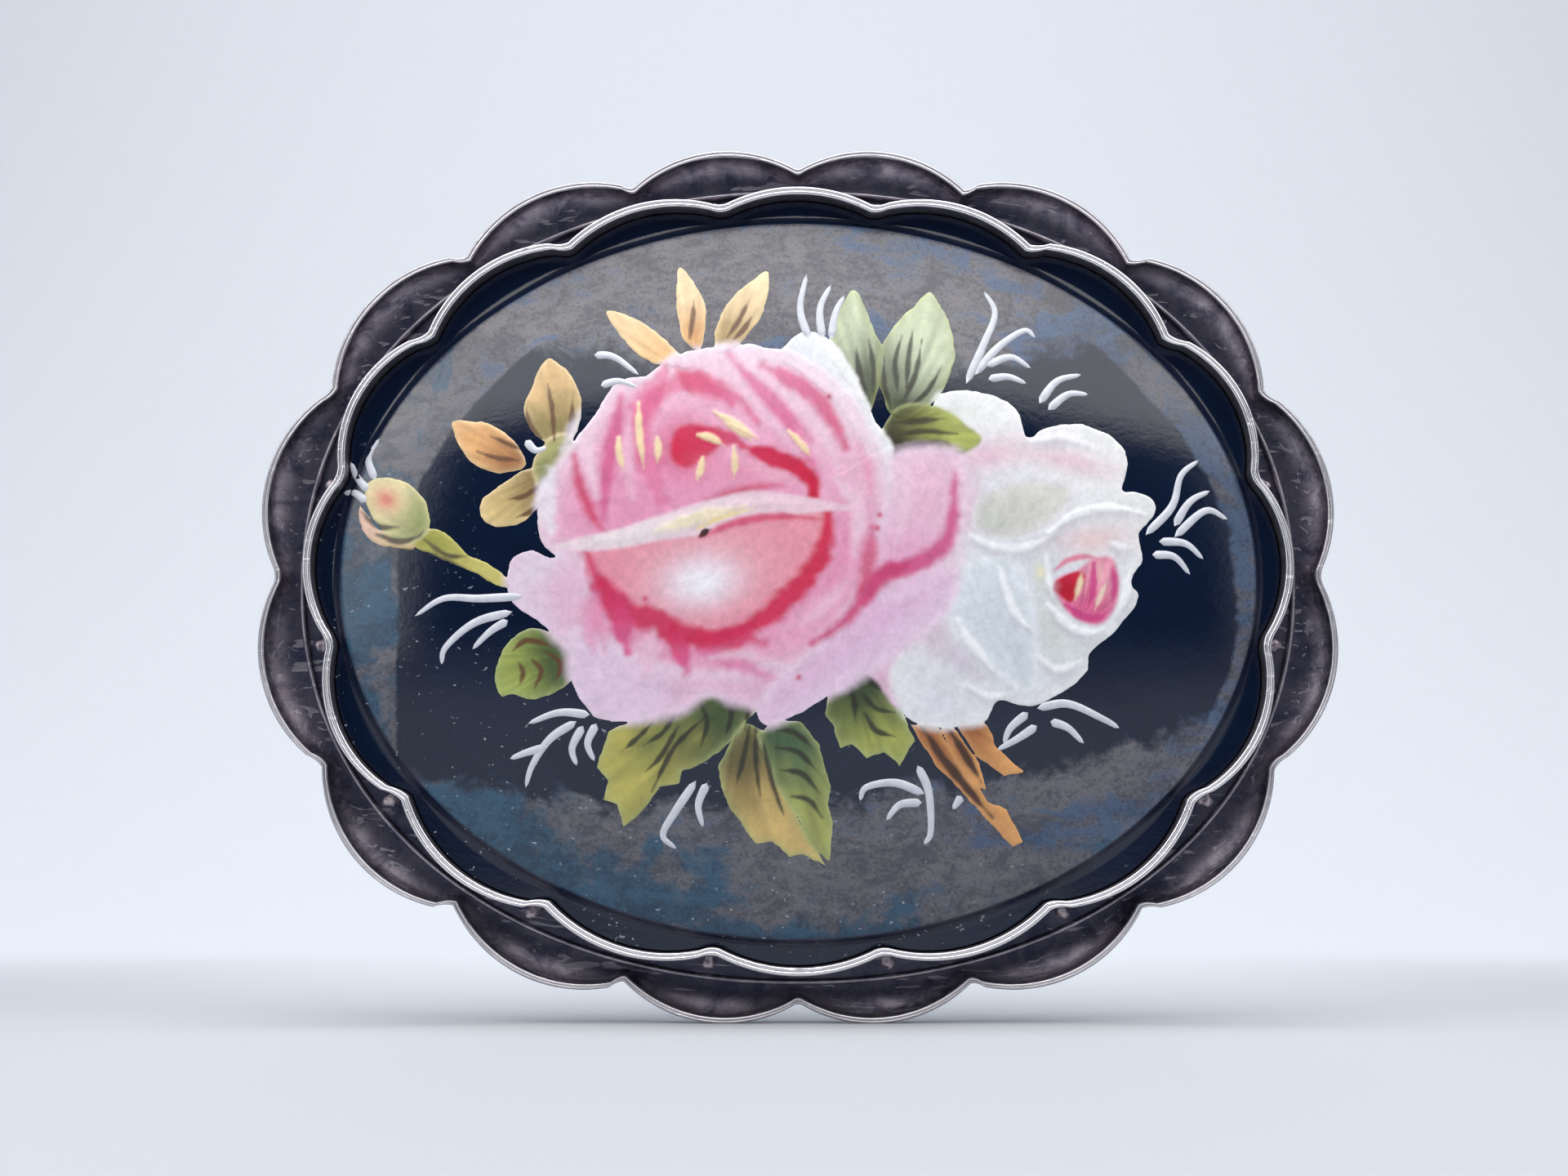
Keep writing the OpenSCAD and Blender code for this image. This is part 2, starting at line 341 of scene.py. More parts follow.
def piece(name, points, faces, recipe, node=None, burnish_and_highlight=None):
    """A smooth mesh piece that rides on the brooch's body and may stand for a CAD node."""
    mesh = bpy.data.meshes.new(name)
    mesh.from_pydata(points.tolist(), [], faces)
    mesh.polygons.foreach_set("use_smooth", [True] * len(mesh.polygons))
    if burnish_and_highlight is not None:
        shine = mesh.attributes.new("burnish_and_highlight", "FLOAT", "POINT")
        shine.data.foreach_set("value", np.resize(burnish_and_highlight, len(points)).astype(np.float32))
    made = bpy.data.objects.new(name, mesh)
    bpy.context.collection.objects.link(made)
    made.data.materials.append(recipe.material)
    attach(made, "brooch")
    if node:
        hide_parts(node)
    return made


def ring(sections):
    """Faces of a closed ring whose cross-sections are rows of the array."""
    count, sides = sections.shape[:2]
    i, j = np.meshgrid(np.arange(count), np.arange(sides), indexing="ij")
    a, b = i * sides + j, i * sides + (j + 1) % sides
    c, d = (i + 1) % count * sides + (j + 1) % sides, (i + 1) % count * sides + j
    return np.stack([a, b, c, d], axis=-1).reshape(-1, 4).tolist()


def polished_edge(low, start, end, inner, outer, groove):
    """A sheet's edge, burnished to two beads with a groove between: share across, depth, and burnish with
    painted highlight, bright on each bead's crest and fading down its sides, grey in the groove.
    """
    turn = np.linspace(-math.pi / 2, math.pi / 2, 7)
    bead = (end - start) * 0.27
    rows = [(start + bead + bead * math.sin(t), low + BEAD_HIGH * math.cos(t),
             inner * math.cos(t * 0.85)) for t in turn]
    rows += [((start + end) / 2, low + 0.02, groove)]
    return rows + [(end - bead + bead * math.sin(t), low + BEAD_HIGH * math.cos(t),
                    outer * math.cos(t * 0.75 + 0.3)) for t in turn]


def silver(name, dark, light, seat_shade=0.0, seat_shade_reach=0.34):
    """Silver, mottled with tarnish and with painted shade darker towards the seat, and near white where its
    attribute of burnish and painted highlight is high.
    """
    recipe = Recipe(name, Metallic=1.0)
    out = recipe.axes()[2]
    burnish_and_highlight = recipe.node("Attribute", {"attribute_name": "burnish_and_highlight"}, out=2)
    cloud = recipe.noise(2.2, detail=6.0, rough=0.62, warp=0.9)
    drift = recipe.noise(0.8, detail=5.0, rough=0.6, stretch=(0.5, 1, 1), warp=0.7)
    spots = recipe.noise(0.22, detail=3.0, rough=0.6)
    scratches = recipe.noise(0.16, detail=2.0, stretch=(0.06, 1, 0.35), warp=1.2).between(0.60, 0.66)
    worn = (cloud * 0.7 + drift * 0.35 + spots * 0.15 - 0.12).between(0.32, 0.66)
    tarnish = recipe.blend(worn, opaque(*dark), opaque(*light))
    warm = (drift * 0.6 + spots * 0.3).between(0.42, 0.62)
    tarnish = recipe.blend(warm * 0.35, tarnish, opaque(142, 118, 128))
    # Painted shade: darker towards the seat, at the foot of the dishes and of the collar.
    tarnish = recipe.blend((1 - (out - SEAT_OUT).between(-0.02, seat_shade_reach)) * seat_shade, tarnish,
                           opaque(46, 50, 74))
    tarnish = recipe.blend(scratches * 0.35, tarnish, opaque(205, 200, 206))
    # Painted highlight with real burnish: near white where the attribute is high.
    recipe.give(Base_Color=recipe.blend(burnish_and_highlight, tarnish, opaque(244, 241, 244)),
                Roughness=0.44 - worn * 0.08 - burnish_and_highlight * 0.16 + spots * 0.10)
    recipe.bump(cloud * 0.5 + drift * 0.35 + spots * 0.2 - scratches * 0.15, 0.045)
    return recipe


def dished(outline):
    """Cross-sections of the border, one for each point of its outline, and the polish of one."""
    angle = np.arctan2(outline[:, 1], outline[:, 0])
    edge = np.hypot(outline[:, 0], outline[:, 1])
    seam, hole = oval(SEAM, angle), oval(SEAT_HOLE, angle)
    inner = edge - BORDER_EDGE
    low = BORDER_OUT - BEAD_HIGH
    lift, back = low - SEAT_OUT, low - PLATE_THICK
    bend = np.radians(np.linspace(0, 90, 13))
    rows = [(hole, PLATE_THICK, 0), (hole, SEAT_OUT, 0), ((hole + seam) / 2, SEAT_OUT, 0)]
    rows += [(seam + (inner - seam) * math.sin(t), SEAT_OUT + lift * (1 - math.cos(t)), 0)
             for t in bend]
    rows += [(inner + BORDER_EDGE * share, depth, shine)
             for share, depth, shine in polished_edge(low, 0.0, 1.0, 1.0, 0.55, 0.35)]
    rows += [(seam + (edge - seam) * math.sin(t), PLATE_THICK + back * (1 - math.cos(t)), 0.05)
             for t in bend[-2:0:-1]]
    rows += [(seam, PLATE_THICK, 0)]
    radii = np.stack([np.broadcast_to(radius, angle.shape) for radius, _, _ in rows], axis=1)
    outs, shine = np.array([row[1:] for row in rows]).T
    return face(radii * np.cos(angle)[:, None], radii * np.sin(angle)[:, None], outs), shine


border_line = scalloped(BORDER_NOTCH, BORDER_CREST, 0, ARC_STEPS, BORDER_EVEN, 0)
border_sections, border_shine = dished(softened(border_line, 2))
border_silver = silver("tarnished_silver", (84, 82, 100), (186, 179, 188), seat_shade=0.8)
piece("border_sheet", border_sections.reshape(-1, 3), ring(border_sections), border_silver,
      "scalloped_border", burnish_and_highlight=border_shine)

# ---- The gallery wire ----
# Half-round silver wire, soldered on the seat round the foot of the collar to hide the joint. Its crest
# is a little lighter: burnish and painted highlight together.

WIRE_WIDE = 0.3
angles = np.radians(np.arange(0, 360, 1.0))
half_round = np.radians(np.linspace(0, 180, 9))
wire_mid = oval(SEAM, angles) - WIRE_WIDE / 2
wire_radii = wire_mid[:, None] + WIRE_WIDE / 2 * np.cos(half_round)[None, :]
wire_outs = SEAT_OUT + 0.02 + WIRE_WIDE * 0.9 * np.sin(half_round)[None, :]
wire_sections = face(wire_radii * np.cos(angles)[:, None], wire_radii * np.sin(angles)[:, None],
                     wire_outs)
wire_silver = silver("wire_silver", (112, 108, 124), (190, 184, 192))
piece("gallery_half_round", wire_sections.reshape(-1, 3), ring(wire_sections), wire_silver,
      "gallery_wire", burnish_and_highlight=0.12 * np.sin(half_round) ** 4)

# ---- The scalloped collar ----
# A strip of silver bent into sixteen scallops and soldered shut, standing on the seat round the
# plaque, with painted shade darkening its wall towards the seat. Its front edge is burnished over the
# porcelain and is as bright as the border's, burnish and painted highlight as there.

COLLAR_CREST = (45.7, 36.7)
COLLAR_NOTCH = 0.85
COLLAR_OUT = 3.3
COLLAR_EVEN = 3
COLLAR_SPREAD = 3.5


def collar_line(inset):
    """The collar's outline, rounded at its notches, that far in from its outside."""
    crest = (COLLAR_CREST[0] - 2 * inset, COLLAR_CREST[1] - 2 * inset)
    notch = (crest[0] - 2 * COLLAR_NOTCH, crest[1] - 2 * COLLAR_NOTCH)
    line = scalloped(notch, crest, math.pi / SCALLOPS, ARC_STEPS, COLLAR_EVEN, COLLAR_SPREAD)
    return softened(line, 3)


outside, inside_line = collar_line(0), collar_line(SHEET)
collar_low = COLLAR_OUT - BEAD_HIGH
wall = [SEAT_OUT + (collar_low - SEAT_OUT) * t for t in (0.3, 0.6, 0.85)]
collar_rows = [(0.92, SEAT_OUT, 0), (0.06, SEAT_OUT, 0)] + [(0.06, depth, 0.1) for depth in wall]
collar_rows += polished_edge(collar_low, 0.06, 0.92, 1.0, 1.0, 0.2)
collar_rows += [(0.92, depth, 0) for depth in wall[::-1]]
shares, collar_outs, collar_shine = np.array(collar_rows).T
collar_flat = inside_line[:, None, :] + (outside - inside_line)[:, None, :] * shares[:, None]
collar_sections = face(collar_flat[..., 0], collar_flat[..., 1], collar_outs)
collar_silver = silver("collar_silver", (104, 98, 112), (186, 180, 188), 0.85, 2.3)
piece("collar_strip", collar_sections.reshape(-1, 3), ring(collar_sections), collar_silver,
      "scalloped_collar", burnish_and_highlight=collar_shine)

# Beads of solder, run into the outer corners of the collar's notches where it meets the seat.
BEAD_OUT = 0.42
BEAD_RADIUS = 0.34
BEAD_LUMPS = 0.025
blobs = []
for k in range(SCALLOPS):
    angle = spaced(math.pi / SCALLOPS * (2 * k + 1), COLLAR_EVEN, COLLAR_SPREAD)
    at = float(oval([size - 2 * COLLAR_NOTCH for size in COLLAR_CREST], np.array(angle)))
    at += BEAD_OUT
    deselect()
    bpy.ops.mesh.primitive_ico_sphere_add(
        subdivisions=3, radius=BEAD_RADIUS * MM, rotation=(0, -angle, 0), scale=(1.3, 0.75, 0.9),
        location=face(at * math.cos(angle), at * math.sin(angle), SEAT_OUT).tolist())
    bpy.ops.object.transform_apply(location=True, rotation=True, scale=True)
    blobs.append(bpy.context.object)
deselect()
for blob in blobs:
    blob.select_set(True)
bpy.context.view_layer.objects.active = blobs[0]
bpy.ops.object.join()
solder = bpy.context.object
solder.name = "solder_beads"
for point in solder.data.vertices:
    x, z = point.co.x, point.co.z
    lump = math.sin(x * 9000) + math.sin(z * 11000 + 2) + math.sin(x * 17000)
    point.co += point.normal * lump * BEAD_LUMPS * MM
bpy.ops.object.shade_smooth()
solder_silver = Recipe("solder", Metallic=0.85)
frost = solder_silver.noise(0.25, detail=4.0, rough=0.7)
dull, bright = opaque(128, 116, 124), opaque(214, 202, 208)
solder_silver.give(Base_Color=solder_silver.blend(frost.between(0.35, 0.6), dull, bright),
                   Roughness=0.5 + frost * 0.15)
solder_silver.bump(frost, 0.05)
solder.data.materials.append(solder_silver.material)
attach(solder, "brooch")

# ---- The porcelain plaque ----
# White porcelain, domed in front, glazed almost black blue and fired. Its colour carries a painted
# reflection of slate, teal and brown near the edge of the dome, with dark flecks in it; the glaze has
# fine rubbing, and a few pits and specks.

DOME = (42.5, 33.5)
DOME_FOOT = 2.6
DOME_RISE = 3.1
DOME_SHARE = 0.95
EDGE_SHARE = 0.96
EDGE_WIDE = 0.15
EDGE_DROP = 0.25
PLAQUE_RIM = 2.32
PLAY = 0.06


def dome_out(across, up):
    """How far out the dome stands at a place on it; flat past its edge."""
    share = np.hypot(across * 2 / DOME[0], up * 2 / DOME[1])
    return DOME_FOOT + DOME_RISE * (1 - np.minimum(share, 1) ** 2.3) - EDGE_DROP * (share > 1)


GRID = 220
side = np.linspace(-1, 1, GRID + 1)
square_x, square_y = np.meshgrid(side, side, indexing="ij")
share = np.maximum(np.abs(square_x), np.abs(square_y))
flat = np.abs(square_x) >= np.abs(square_y)
large, small = np.where(flat, square_x, square_y), np.where(flat, square_y, square_x)
eighth = math.pi / 4 * small / np.where(large == 0, 1, large)
turn = np.where(flat, eighth, math.pi / 2 - eighth) + np.where(large < 0, math.pi, 0)
rim_line = collar_line(SHEET + PLAY)
rim_angle = np.arctan2(rim_line[:, 1], rim_line[:, 0]) % (2 * math.pi)
order = np.argsort(rim_angle)
rim_radius = np.interp(turn % (2 * math.pi), rim_angle[order],
                       np.hypot(rim_line[order, 0], rim_line[order, 1]), period=2 * math.pi)
dome_radius = oval(DOME, turn, 2)
step = np.clip((share - DOME_SHARE) / (EDGE_SHARE - DOME_SHARE), 0, 1)
past = np.clip((share - EDGE_SHARE) / (1 - EDGE_SHARE), 0, 1)
radius = dome_radius * np.minimum(share / DOME_SHARE, 1) + EDGE_WIDE * step
radius = radius + (rim_radius - radius) * past
plaque_x, plaque_y = radius * np.cos(turn), radius * np.sin(turn)
plaque_out = np.where(share < DOME_SHARE, dome_out(plaque_x, plaque_y), DOME_FOOT - EDGE_DROP * step)
plaque_out = plaque_out + (PLAQUE_RIM - DOME_FOOT + EDGE_DROP) * past
plaque_points = face(plaque_x, plaque_y, plaque_out).reshape(-1, 3)
i, j = np.meshgrid(np.arange(GRID), np.arange(GRID), indexing="ij")
corner = i * (GRID + 1) + j
plaque_faces = np.stack([corner, corner + GRID + 1, corner + GRID + 2, corner + 1], axis=-1)

glaze = Recipe("dark_glaze", Specular_IOR_Level=0.5)
across, up, out = glaze.axes()
mottle = glaze.noise(2.6, detail=6.0, rough=0.62, warp=0.8)
patches = glaze.noise(4.5, detail=5.0, rough=0.6, stretch=(0.55, 1, 1.3), warp=0.6)
streaks = glaze.noise(1.0, detail=6.0, rough=0.65, stretch=(0.6, 1, 1.1), warp=0.9)
fine = glaze.noise(0.2, detail=5.0, rough=0.75)
flecks = glaze.noise(0.26, detail=2.0, stretch=(0.8, 1, 1.1), warp=0.3)
drift = (mottle - 0.5) * 4.0 + (streaks - 0.5) * 1.6
reach = (across * across / (DOME[0] / 2) ** 2 + up * up / (DOME[1] / 2) ** 2) ** 0.5
# Painted reflection: lighter patches along the top, bottom, left and right of the dome.
top = (up - across * across * 0.012 + across * 0.03 + drift).between(8.2, 9.6)
bottom = (drift - up + across * across * 0.008 + across * 0.06).between(10.2, 11.2) * 0.8
above = up.math("MAXIMUM", 0.0)
left = (above * above * 0.055 - across + drift * 0.12).between(18.2, 18.45)
on_dome = 1 - reach.between(0.992, 0.998)
right = (reach + drift * 0.012 + up * 0.004).between(0.94, 0.955) * across.between(6, 11)
painted_reflection = (top + bottom + left * 0.8 + right * 0.75).math("MINIMUM", 1.0) * on_dome
blue_share = (patches * 0.6 + streaks * 0.45 + across * 0.003).between(0.54, 0.64)
teal_share = (patches * 0.5 + mottle * 0.5 - up * 0.008 + reach * 0.5
              - across * 0.006).between(1.02, 1.12)
reflection_colour = glaze.blend(blue_share, opaque(124, 121, 126), opaque(84, 104, 136))
reflection_colour = glaze.blend(teal_share, reflection_colour, opaque(58, 98, 126))
crisp = (fine * 0.45 + streaks * 0.4 + mottle * 0.15).between(0.42, 0.56)
grainy = painted_reflection * (0.36 + crisp * 0.52)
navy = glaze.blend(mottle, opaque(5, 16, 38), opaque(14, 30, 56))
glaze_colour = glaze.blend(grainy, navy, reflection_colour)
# Dark flecks inside the painted reflection.
reflection_flecks = fine.between(0.58, 0.64) * painted_reflection * 0.65
glaze_colour = glaze.blend(reflection_flecks, glaze_colour, opaque(24, 30, 44))
scuffed = (mottle * 0.5 - across * 0.012 - up * 0.02).between(0.28, 0.6)
chips = flecks.between(0.700, 0.715) * scuffed
glaze_colour = glaze.blend(chips * 0.7, glaze_colour, opaque(168, 176, 188))
glaze.give(Base_Color=glaze_colour, Roughness=0.05 + painted_reflection * 0.16 + streaks * 0.07 + chips * 0.4)
glaze.bump(mottle * 0.2 + fine * 0.25 + streaks * 0.5 + chips * 0.6, 0.014)
piece("glazed_plaque", plaque_points, plaque_faces.reshape(-1, 4).tolist(), glaze,
      "porcelain_plaque")

# ---- The painted roses ----
# A spray of roses in opaque china paint, laid on petal by petal with a soft brush and fired on the
# glaze. Each petal stands a few hundredths of a millimetre proud and has a thicker, crisp edge.

SPACING = 0.07
BURIED = 0.07
MARGIN = 0.3
DRAWN_MIDDLE = (-0.63, -0.52)
DRAWN_AWAY = (102.1, 103.0)


def laid(across, up):
    """Where a point of the flat drawing lands on the dome, seen from in front and a little below."""
    side, rise = (across - DRAWN_MIDDLE[0]) / DRAWN_AWAY[0], (up - DRAWN_MIDDLE[1]) / DRAWN_AWAY[1]
    out = np.full(np.shape(across), DOME_FOOT + DOME_RISE)
    for _ in range(6):
        reach = (EYE[2] - out) / (math.cos(CAMERA_BELOW) - rise * math.sin(CAMERA_BELOW))
        x = EYE[0] + reach * side
        y = EYE[1] + reach * (math.sin(CAMERA_BELOW) + rise * math.cos(CAMERA_BELOW))
        out = dome_out(x, y)
    return x, y


def smooth(value, low, high):
    """0 below low, 1 above high, and a smooth step between."""
    t = np.clip((value - low) / (high - low), 0, 1)
    return t * t * (3 - 2 * t)


def grain(across, up, size, seed):
    """Smooth random values, 0 to 1, on a lattice of the given size."""
    x, y = across / size + seed * 17.3, up / size + seed * 5.7
    i, j = np.floor(x), np.floor(y)
    f, g = smooth(x - i, 0, 1), smooth(y - j, 0, 1)

    def corner(a, b):
        h = np.sin(a * 127.1 + b * 311.7 + seed * 74.7) * 43758.5453
        return h - np.floor(h)
    low = corner(i, j) * (1 - f) + corner(i + 1, j) * f
    high = corner(i, j + 1) * (1 - f) + corner(i + 1, j + 1) * f
    return low * (1 - g) + high * g


def curve(points, closed=False, steps=8):
    """A smooth curve through the points."""
    p = np.array(points, float)
    p = np.vstack([p[-1:], p, p[:2]] if closed else [2 * p[:1] - p[1:2], p, 2 * p[-1:] - p[-2:-1]])
    t = np.linspace(0, 1, steps, endpoint=False)[:, None]
    spans = [0.5 * (2 * b + (c - a) * t + (2 * a - 5 * b + 4 * c - d) * t ** 2
                    + (3 * b - a - 3 * c + d) * t ** 3) for a, b, c, d in zip(p, p[1:], p[2:], p[3:])]
    return np.vstack(spans if closed else spans + [p[-2:-1]])


def nearest(across, up, line):
    """Distance of each place from a line, and the share of the line that lies before that spot."""
    steps = np.hypot(*np.diff(line, axis=0).T)
    before = np.concatenate([[0], np.cumsum(steps)])
    best, along = np.full(len(across), 1e9), np.zeros(len(across))
    for a, b, start, length in zip(line, line[1:], before, steps):
        way = (b - a) / max(length, 1e-9)
        t = np.clip((across - a[0]) * way[0] + (up - a[1]) * way[1], 0, length)
        far = np.hypot(across - a[0] - t * way[0], up - a[1] - t * way[1])
        closer = far < best
        best, along = np.where(closer, far, best), np.where(closer, start + t, along)
    return best, along / before[-1]


def depth_inside(across, up, outline):
    """Distance inside a closed outline, negative outside it."""
    loop = np.vstack([outline, outline[:1]])
    far, _ = nearest(across, up, loop)
    within = np.zeros(len(across), bool)
    for (x0, y0), (x1, y1) in zip(loop, loop[1:]):
        if y0 != y1:
            crosses = (y0 > up) != (y1 > up)
            within ^= crosses & (across < x0 + (up - y0) * (x1 - x0) / (y1 - y0))
    return np.where(within, far, -far)


class Painting:
    """China paint on a fine grid of places: a colour and a height for each."""

    def __init__(self, low, high):
        self.shape = [int((b - a) / SPACING) + 1 for a, b in zip(low, high)]
        grid = np.meshgrid(*[a + SPACING * np.arange(n) for a, n in zip(low, self.shape)],
                           indexing="ij")
        self.across, self.up = grid[0].ravel(), grid[1].ravel()
        self.colour = np.zeros((len(self.across), 3))
        self.height = np.full(len(self.across), -BURIED)
        self.inside = np.full(len(self.across), -9.0)
        self.count = 0

    def near(self, line, margin):
        """The places within a margin of a line's box."""
        low, high = line.min(axis=0) - margin, line.max(axis=0) + margin
        return np.flatnonzero((self.across > low[0]) & (self.across < high[0])
                              & (self.up > low[1]) & (self.up < high[1]))

    def lay(self, spots, share, colour):
        """Cover a share of what lies at the spots with a colour."""
        share = (share * (self.inside[spots] > -MARGIN))[:, None]
        self.colour[spots] = self.colour[spots] * (1 - share) + colour * share

    def petal(self, points, base, tip, start, end, edge=None, edge_wide=0.5, soft=0.14, streak=0.08,
              raised=0.025, sharp=False):
        """A closed shape, shaded from base to tip colour along the way from start to end."""
        self.count += 1
        line = np.array(points, float) if sharp else curve(points, closed=True)
        spots = self.near(line, MARGIN)
        u, v = self.across[spots], self.up[spots]
        wobble = 0.10 * (grain(u, v, 0.6, self.count + 40) - 0.5)
        wobble = wobble + 0.05 * (grain(u, v, 0.2, self.count) - 0.5)
        depth = depth_inside(u, v, line) + wobble * (raised > 0)
        start, way = np.array(start), np.array(end) - np.array(start)
        t = ((u - start[0]) * way[0] + (v - start[1]) * way[1]) / (way @ way)
        t = t + (grain(u, v, 0.9, self.count) - 0.5) * 0.3
        colour = rgb(*base) + (rgb(*tip) - rgb(*base)) * smooth(t, 0, 1)[:, None]
        if edge:
            rim = np.exp(-np.maximum(depth, 0) / edge_wide)[:, None] * 0.85
            colour = colour * (1 - rim) + rgb(*edge) * rim
        fan = np.arctan2(v - start[1] + way[1] * 0.3, u - start[0] + way[0] * 0.3)
        hair = grain(fan * 9, np.hypot(u - start[0], v - start[1]) * 0.25, 0.5, self.count)
        colour = colour * (1 + (hair - 0.5) * 2 * streak)[:, None]
        share = smooth(depth, -soft, soft * 0.6)
        if raised:
            share = np.where(self.inside[spots] < 0, (depth > -MARGIN) * 1.0, share)
            self.inside[spots] = np.maximum(self.inside[spots], depth)
            rise = smooth(depth, -0.09, 0.09)
            ground = self.height[spots]
            self.height[spots] = np.where(ground > 0, ground * (1 - 0.4 * rise) + raised * rise,
                                          np.maximum(ground, (BURIED + raised) * rise - BURIED))
        self.lay(spots, share, colour)

    def stroke(self, points, width, colour, end=None, soft=0.15, strength=1.0, taper=(0.4, 0.1),
               raise_by=0.0):
        """A brush stroke, tapered at both ends, fading to its end colour."""
        self.count += 1
        line = curve(points)
        spots = self.near(line, width + soft)
        far, along = nearest(self.across[spots], self.up[spots], line)
        far = far + (grain(self.across[spots], self.up[spots], 0.35, self.count) - 0.5) * width * 0.25
        thin = taper[0] + (1 - taper[0]) * smooth(along, 0, 0.3)
        thin = thin * (taper[1] + (1 - taper[1]) * smooth(1 - along, 0, 0.4))
        share = smooth(width / 2 * thin - far, -soft, soft) * strength
        tint = rgb(*colour) + (rgb(*(end or colour)) - rgb(*colour)) * along[:, None]
        self.lay(spots, share, tint)
        self.height[spots] += raise_by * share

    def glow(self, middle, size, colour, strength=1.0, turn=0.0):
        """A soft round patch of colour."""
        reach = max(size) * 2.2
        spots = self.near(np.array([middle, middle], float), reach)
        u, v = self.across[spots] - middle[0], self.up[spots] - middle[1]
        c, s = math.cos(math.radians(turn)), math.sin(math.radians(turn))
        far = np.hypot((u * c + v * s) / size[0], (v * c - u * s) / size[1])
        self.lay(spots, strength * np.exp(-far ** 2 * 1.2), rgb(*colour))


WHITE, PALE_PINK = (234, 234, 235), (234, 204, 220)
PINK, ROSE, CRIMSON, DEEP = (228, 150, 186), (216, 84, 140), (204, 34, 78), (186, 10, 44)
MAGENTA = (204, 62, 130)
LEAF_CREAM, LEAF_EDGE = (188, 198, 168), (172, 182, 122)
TAN, TAN_LIGHT, OLIVE = (206, 150, 92), (236, 200, 154), (136, 124, 70)
INK, SEPIA = (34, 34, 20), (92, 52, 26)

art = Painting((-20.6, -13.6), (16.6, 14.6))

# Tan and olive sprays behind the large rose: outline, then the colours at its stalk and its tip.
SPRAYS = [
    ([(-5.4, 14.1), (-4.6, 13.3), (-4.1, 12.0), (-4.4, 10.4), (-5.2, 10.8), (-5.5, 12.4)],
     TAN, (240, 212, 170), (-4.8, 10.6), (-5.2, 13.4)),
    ([(-1.3, 13.9), (-1.6, 12.0), (-2.7, 10.5), (-3.8, 10.2), (-3.5, 12.0), (-2.5, 13.2)],
     (170, 142, 92), (240, 214, 172), (-3.2, 10.6), (-1.6, 13.4)),
    ([(-8.7, 12.1), (-7.2, 11.7), (-6.0, 10.8), (-4.8, 9.5), (-6.5, 9.7), (-7.7, 10.6)],
     (224, 176, 118), TAN_LIGHT, (-5.4, 9.6), (-7.8, 11.6)),
    ([(-11.2, 10.0), (-10.0, 8.8), (-9.8, 7.4), (-10.3, 6.0), (-11.6, 6.2), (-12.4, 7.4), (-12.0, 8.8)],
     OLIVE, (214, 176, 122), (-10.6, 6.2), (-11.4, 9.2)),
    ([(-15.6, 7.1), (-14.0, 7.0), (-12.8, 6.2), (-12.3, 5.1), (-13.5, 4.7), (-14.8, 5.2), (-15.4, 6.2)],
     (150, 92, 46), (222, 166, 106), (-12.4, 5.2), (-14.6, 6.6)),
    ([(-11.0, 4.9), (-11.6, 3.2), (-12.8, 2.3), (-14.1, 2.4), (-14.3, 3.4), (-13.2, 4.4), (-12.0, 5.0)],
     (120, 98, 54), (208, 182, 124), (-11.2, 4.6), (-13.6, 2.8)),
    ([(-11.0, 6.4), (-10.2, 6.3), (-10.0, 5.0), (-10.8, 3.6), (-11.6, 4.0), (-12.0, 5.2)],
     (156, 156, 100), (118, 124, 66), (-10.4, 6.0), (-11.4, 4.2)),
]
for outline, base, tip, start, end in SPRAYS:
    art.petal(outline, base, tip, start, end, edge=(232, 208, 160), edge_wide=0.14, streak=0.16)

